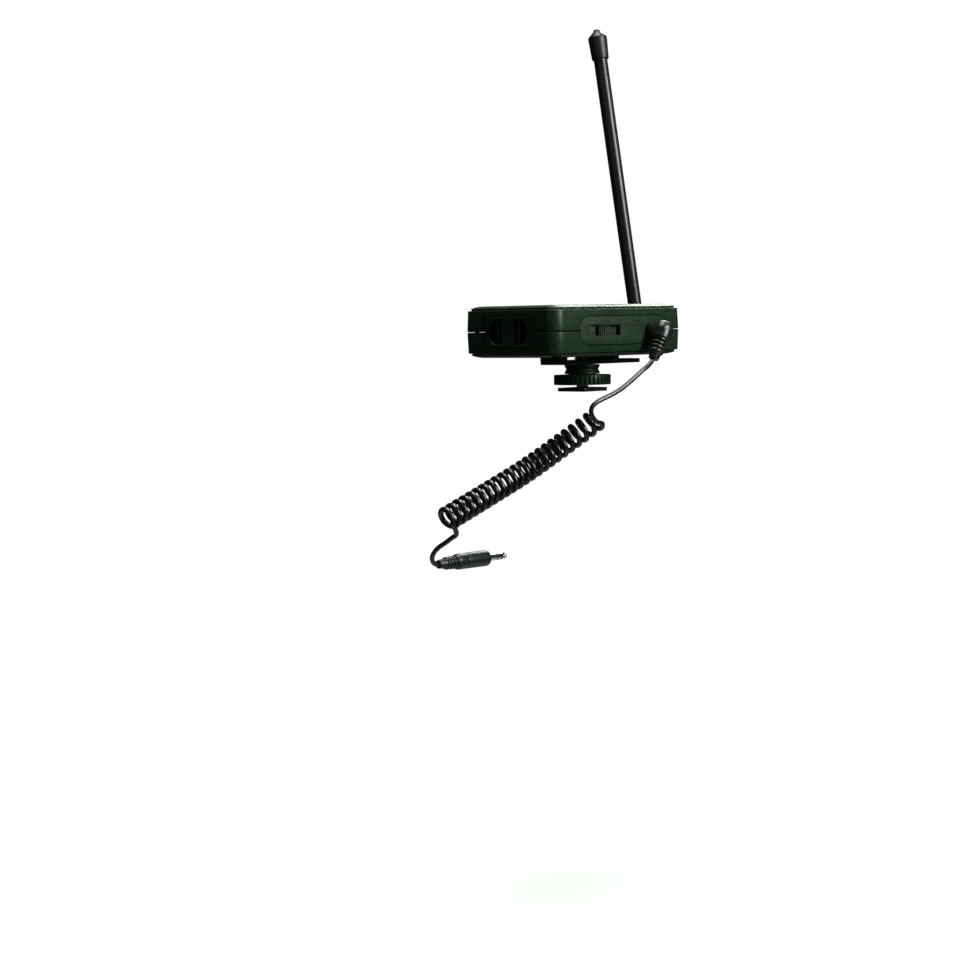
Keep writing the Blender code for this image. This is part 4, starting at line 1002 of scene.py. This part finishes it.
def make_stage():
    """Pale floor that throws only a little light back up at the object."""
    mesh = bpy.data.meshes.new("floor")
    sketch = bmesh.new()
    bmesh.ops.create_circle(sketch, cap_ends=True, segments=96, radius=0.30)
    sketch.to_mesh(mesh)
    sketch.free()
    material, tree, shader = shader_tree("floor_look")
    tree.links.new(ramp(tree, noise(tree, 3, 2.0), ((0.3, (0.84, 0.85, 0.84)), (0.7, (0.88, 0.89, 0.88)))),
                   shader.inputs["Base Color"])
    shader.inputs["Roughness"].default_value = 0.9
    dim = tree.nodes.new("ShaderNodeBsdfDiffuse")
    dim.inputs["Color"].default_value = (0.30, 0.31, 0.30, 1)
    path = tree.nodes.new("ShaderNodeLightPath")
    mix = tree.nodes.new("ShaderNodeMixShader")
    tree.links.new(path.outputs["Is Camera Ray"], mix.inputs["Fac"])
    tree.links.new(dim.outputs["BSDF"], mix.inputs[1])
    tree.links.new(shader.outputs["BSDF"], mix.inputs[2])
    tree.links.new(mix.outputs["Shader"], tree.nodes["Material Output"].inputs["Surface"])
    mesh.materials.append(material)
    floor = add_object("floor", mesh)
    floor.location = (0, 0, FLOOR_Z)


def make_world():
    """Pale surroundings for the eye, dimmer ones for the light on the object."""
    world = bpy.data.worlds.new("studio")
    bpy.context.scene.world = world
    world.use_nodes = True
    tree = world.node_tree
    tree.nodes.clear()
    output = tree.nodes.new("ShaderNodeOutputWorld")
    mix = tree.nodes.new("ShaderNodeMixShader")
    path = tree.nodes.new("ShaderNodeLightPath")
    seen = tree.nodes.new("ShaderNodeBackground")
    seen.inputs["Color"].default_value = (1.0, 1.0, 1.0, 1)
    seen.inputs["Strength"].default_value = 1.0
    light = tree.nodes.new("ShaderNodeBackground")
    light.inputs["Color"].default_value = (0.93, 1.0, 0.94, 1)
    light.inputs["Strength"].default_value = 0.03
    tree.links.new(path.outputs["Is Camera Ray"], mix.inputs["Fac"])
    tree.links.new(light.outputs["Background"], mix.inputs[1])
    tree.links.new(seen.outputs["Background"], mix.inputs[2])
    tree.links.new(mix.outputs["Shader"], output.inputs["Surface"])


def softbox(name, azimuth, elevation, distance, size, power, colour=(1.0, 1.0, 1.0)):
    """Rectangular light aimed at the object; azimuth is measured from +Y towards +X, in degrees."""
    light = bpy.data.lights.new(name, "AREA")
    light.shape = "RECTANGLE"
    light.size, light.size_y = size
    light.energy = power
    light.color = colour
    item = bpy.data.objects.new(name, light)
    bpy.context.scene.collection.objects.link(item)
    a, e = math.radians(azimuth), math.radians(elevation)
    direction = Vector((math.sin(a) * math.cos(e), math.cos(a) * math.cos(e), math.sin(e)))
    item.location = direction * distance + Vector((0, 0, 0.03))
    item.rotation_mode = "QUATERNION"
    item.rotation_quaternion = direction.to_track_quat("Z", "Y")


def make_lights():
    softbox("key", 168, 24, 1.5, (0.30, 0.8), 27, (0.93, 1.0, 0.92))
    softbox("back", 60, 30, 1.7, (0.5, 0.5), 9, (0.95, 1.0, 0.93))
    softbox("overhead", 20, 86, 1.7, (0.9, 0.9), 34)
    softbox("left_edge", 262, 20, 1.8, (0.12, 0.9), 0.6)


def make_camera():
    camera = bpy.data.cameras.new("camera")
    camera.lens = 79.2
    camera.sensor_width = 36.0
    camera.clip_start = 0.01
    camera.clip_end = 50.0
    item = bpy.data.objects.new("camera", camera)
    bpy.context.scene.collection.objects.link(item)
    item.location = metres((-839.45, -736.97, 37.83))
    pitch, roll = math.radians(4.303), math.radians(1.03)
    forward = Vector((math.sin(VIEW_AZIMUTH) * math.cos(pitch), math.cos(VIEW_AZIMUTH) * math.cos(pitch),
                      -math.sin(pitch)))
    aim = forward.to_track_quat("-Z", "Y").to_matrix()
    item.matrix_world = (Matrix.Translation(item.location) @ aim.to_4x4() @ Matrix.Rotation(-roll, 4, "Z"))
    bpy.context.scene.camera = item


# ---------------------------------------------------------------- build
make_camera()
make_world()
make_stage()
make_lights()
make_near_plug()
far_plug_pieces = [make_far_plug()] + audio_pin("far_pin", "far_plug_pin", 1, 0)
audio_pin("near_pin", "plug_pin", 1, 1)
make_cord()
make_case()
make_side_panel()
make_channel_slider()
make_power_switch()
make_antenna_base()
make_fork()
make_rod()
make_battery_tray()
make_cells()
make_belt_clip()
make_clip_bracket()
make_adapter()
dress_kept_nodes()
bpy.context.scene.view_settings.view_transform = "Standard"
bpy.context.view_layer.update()
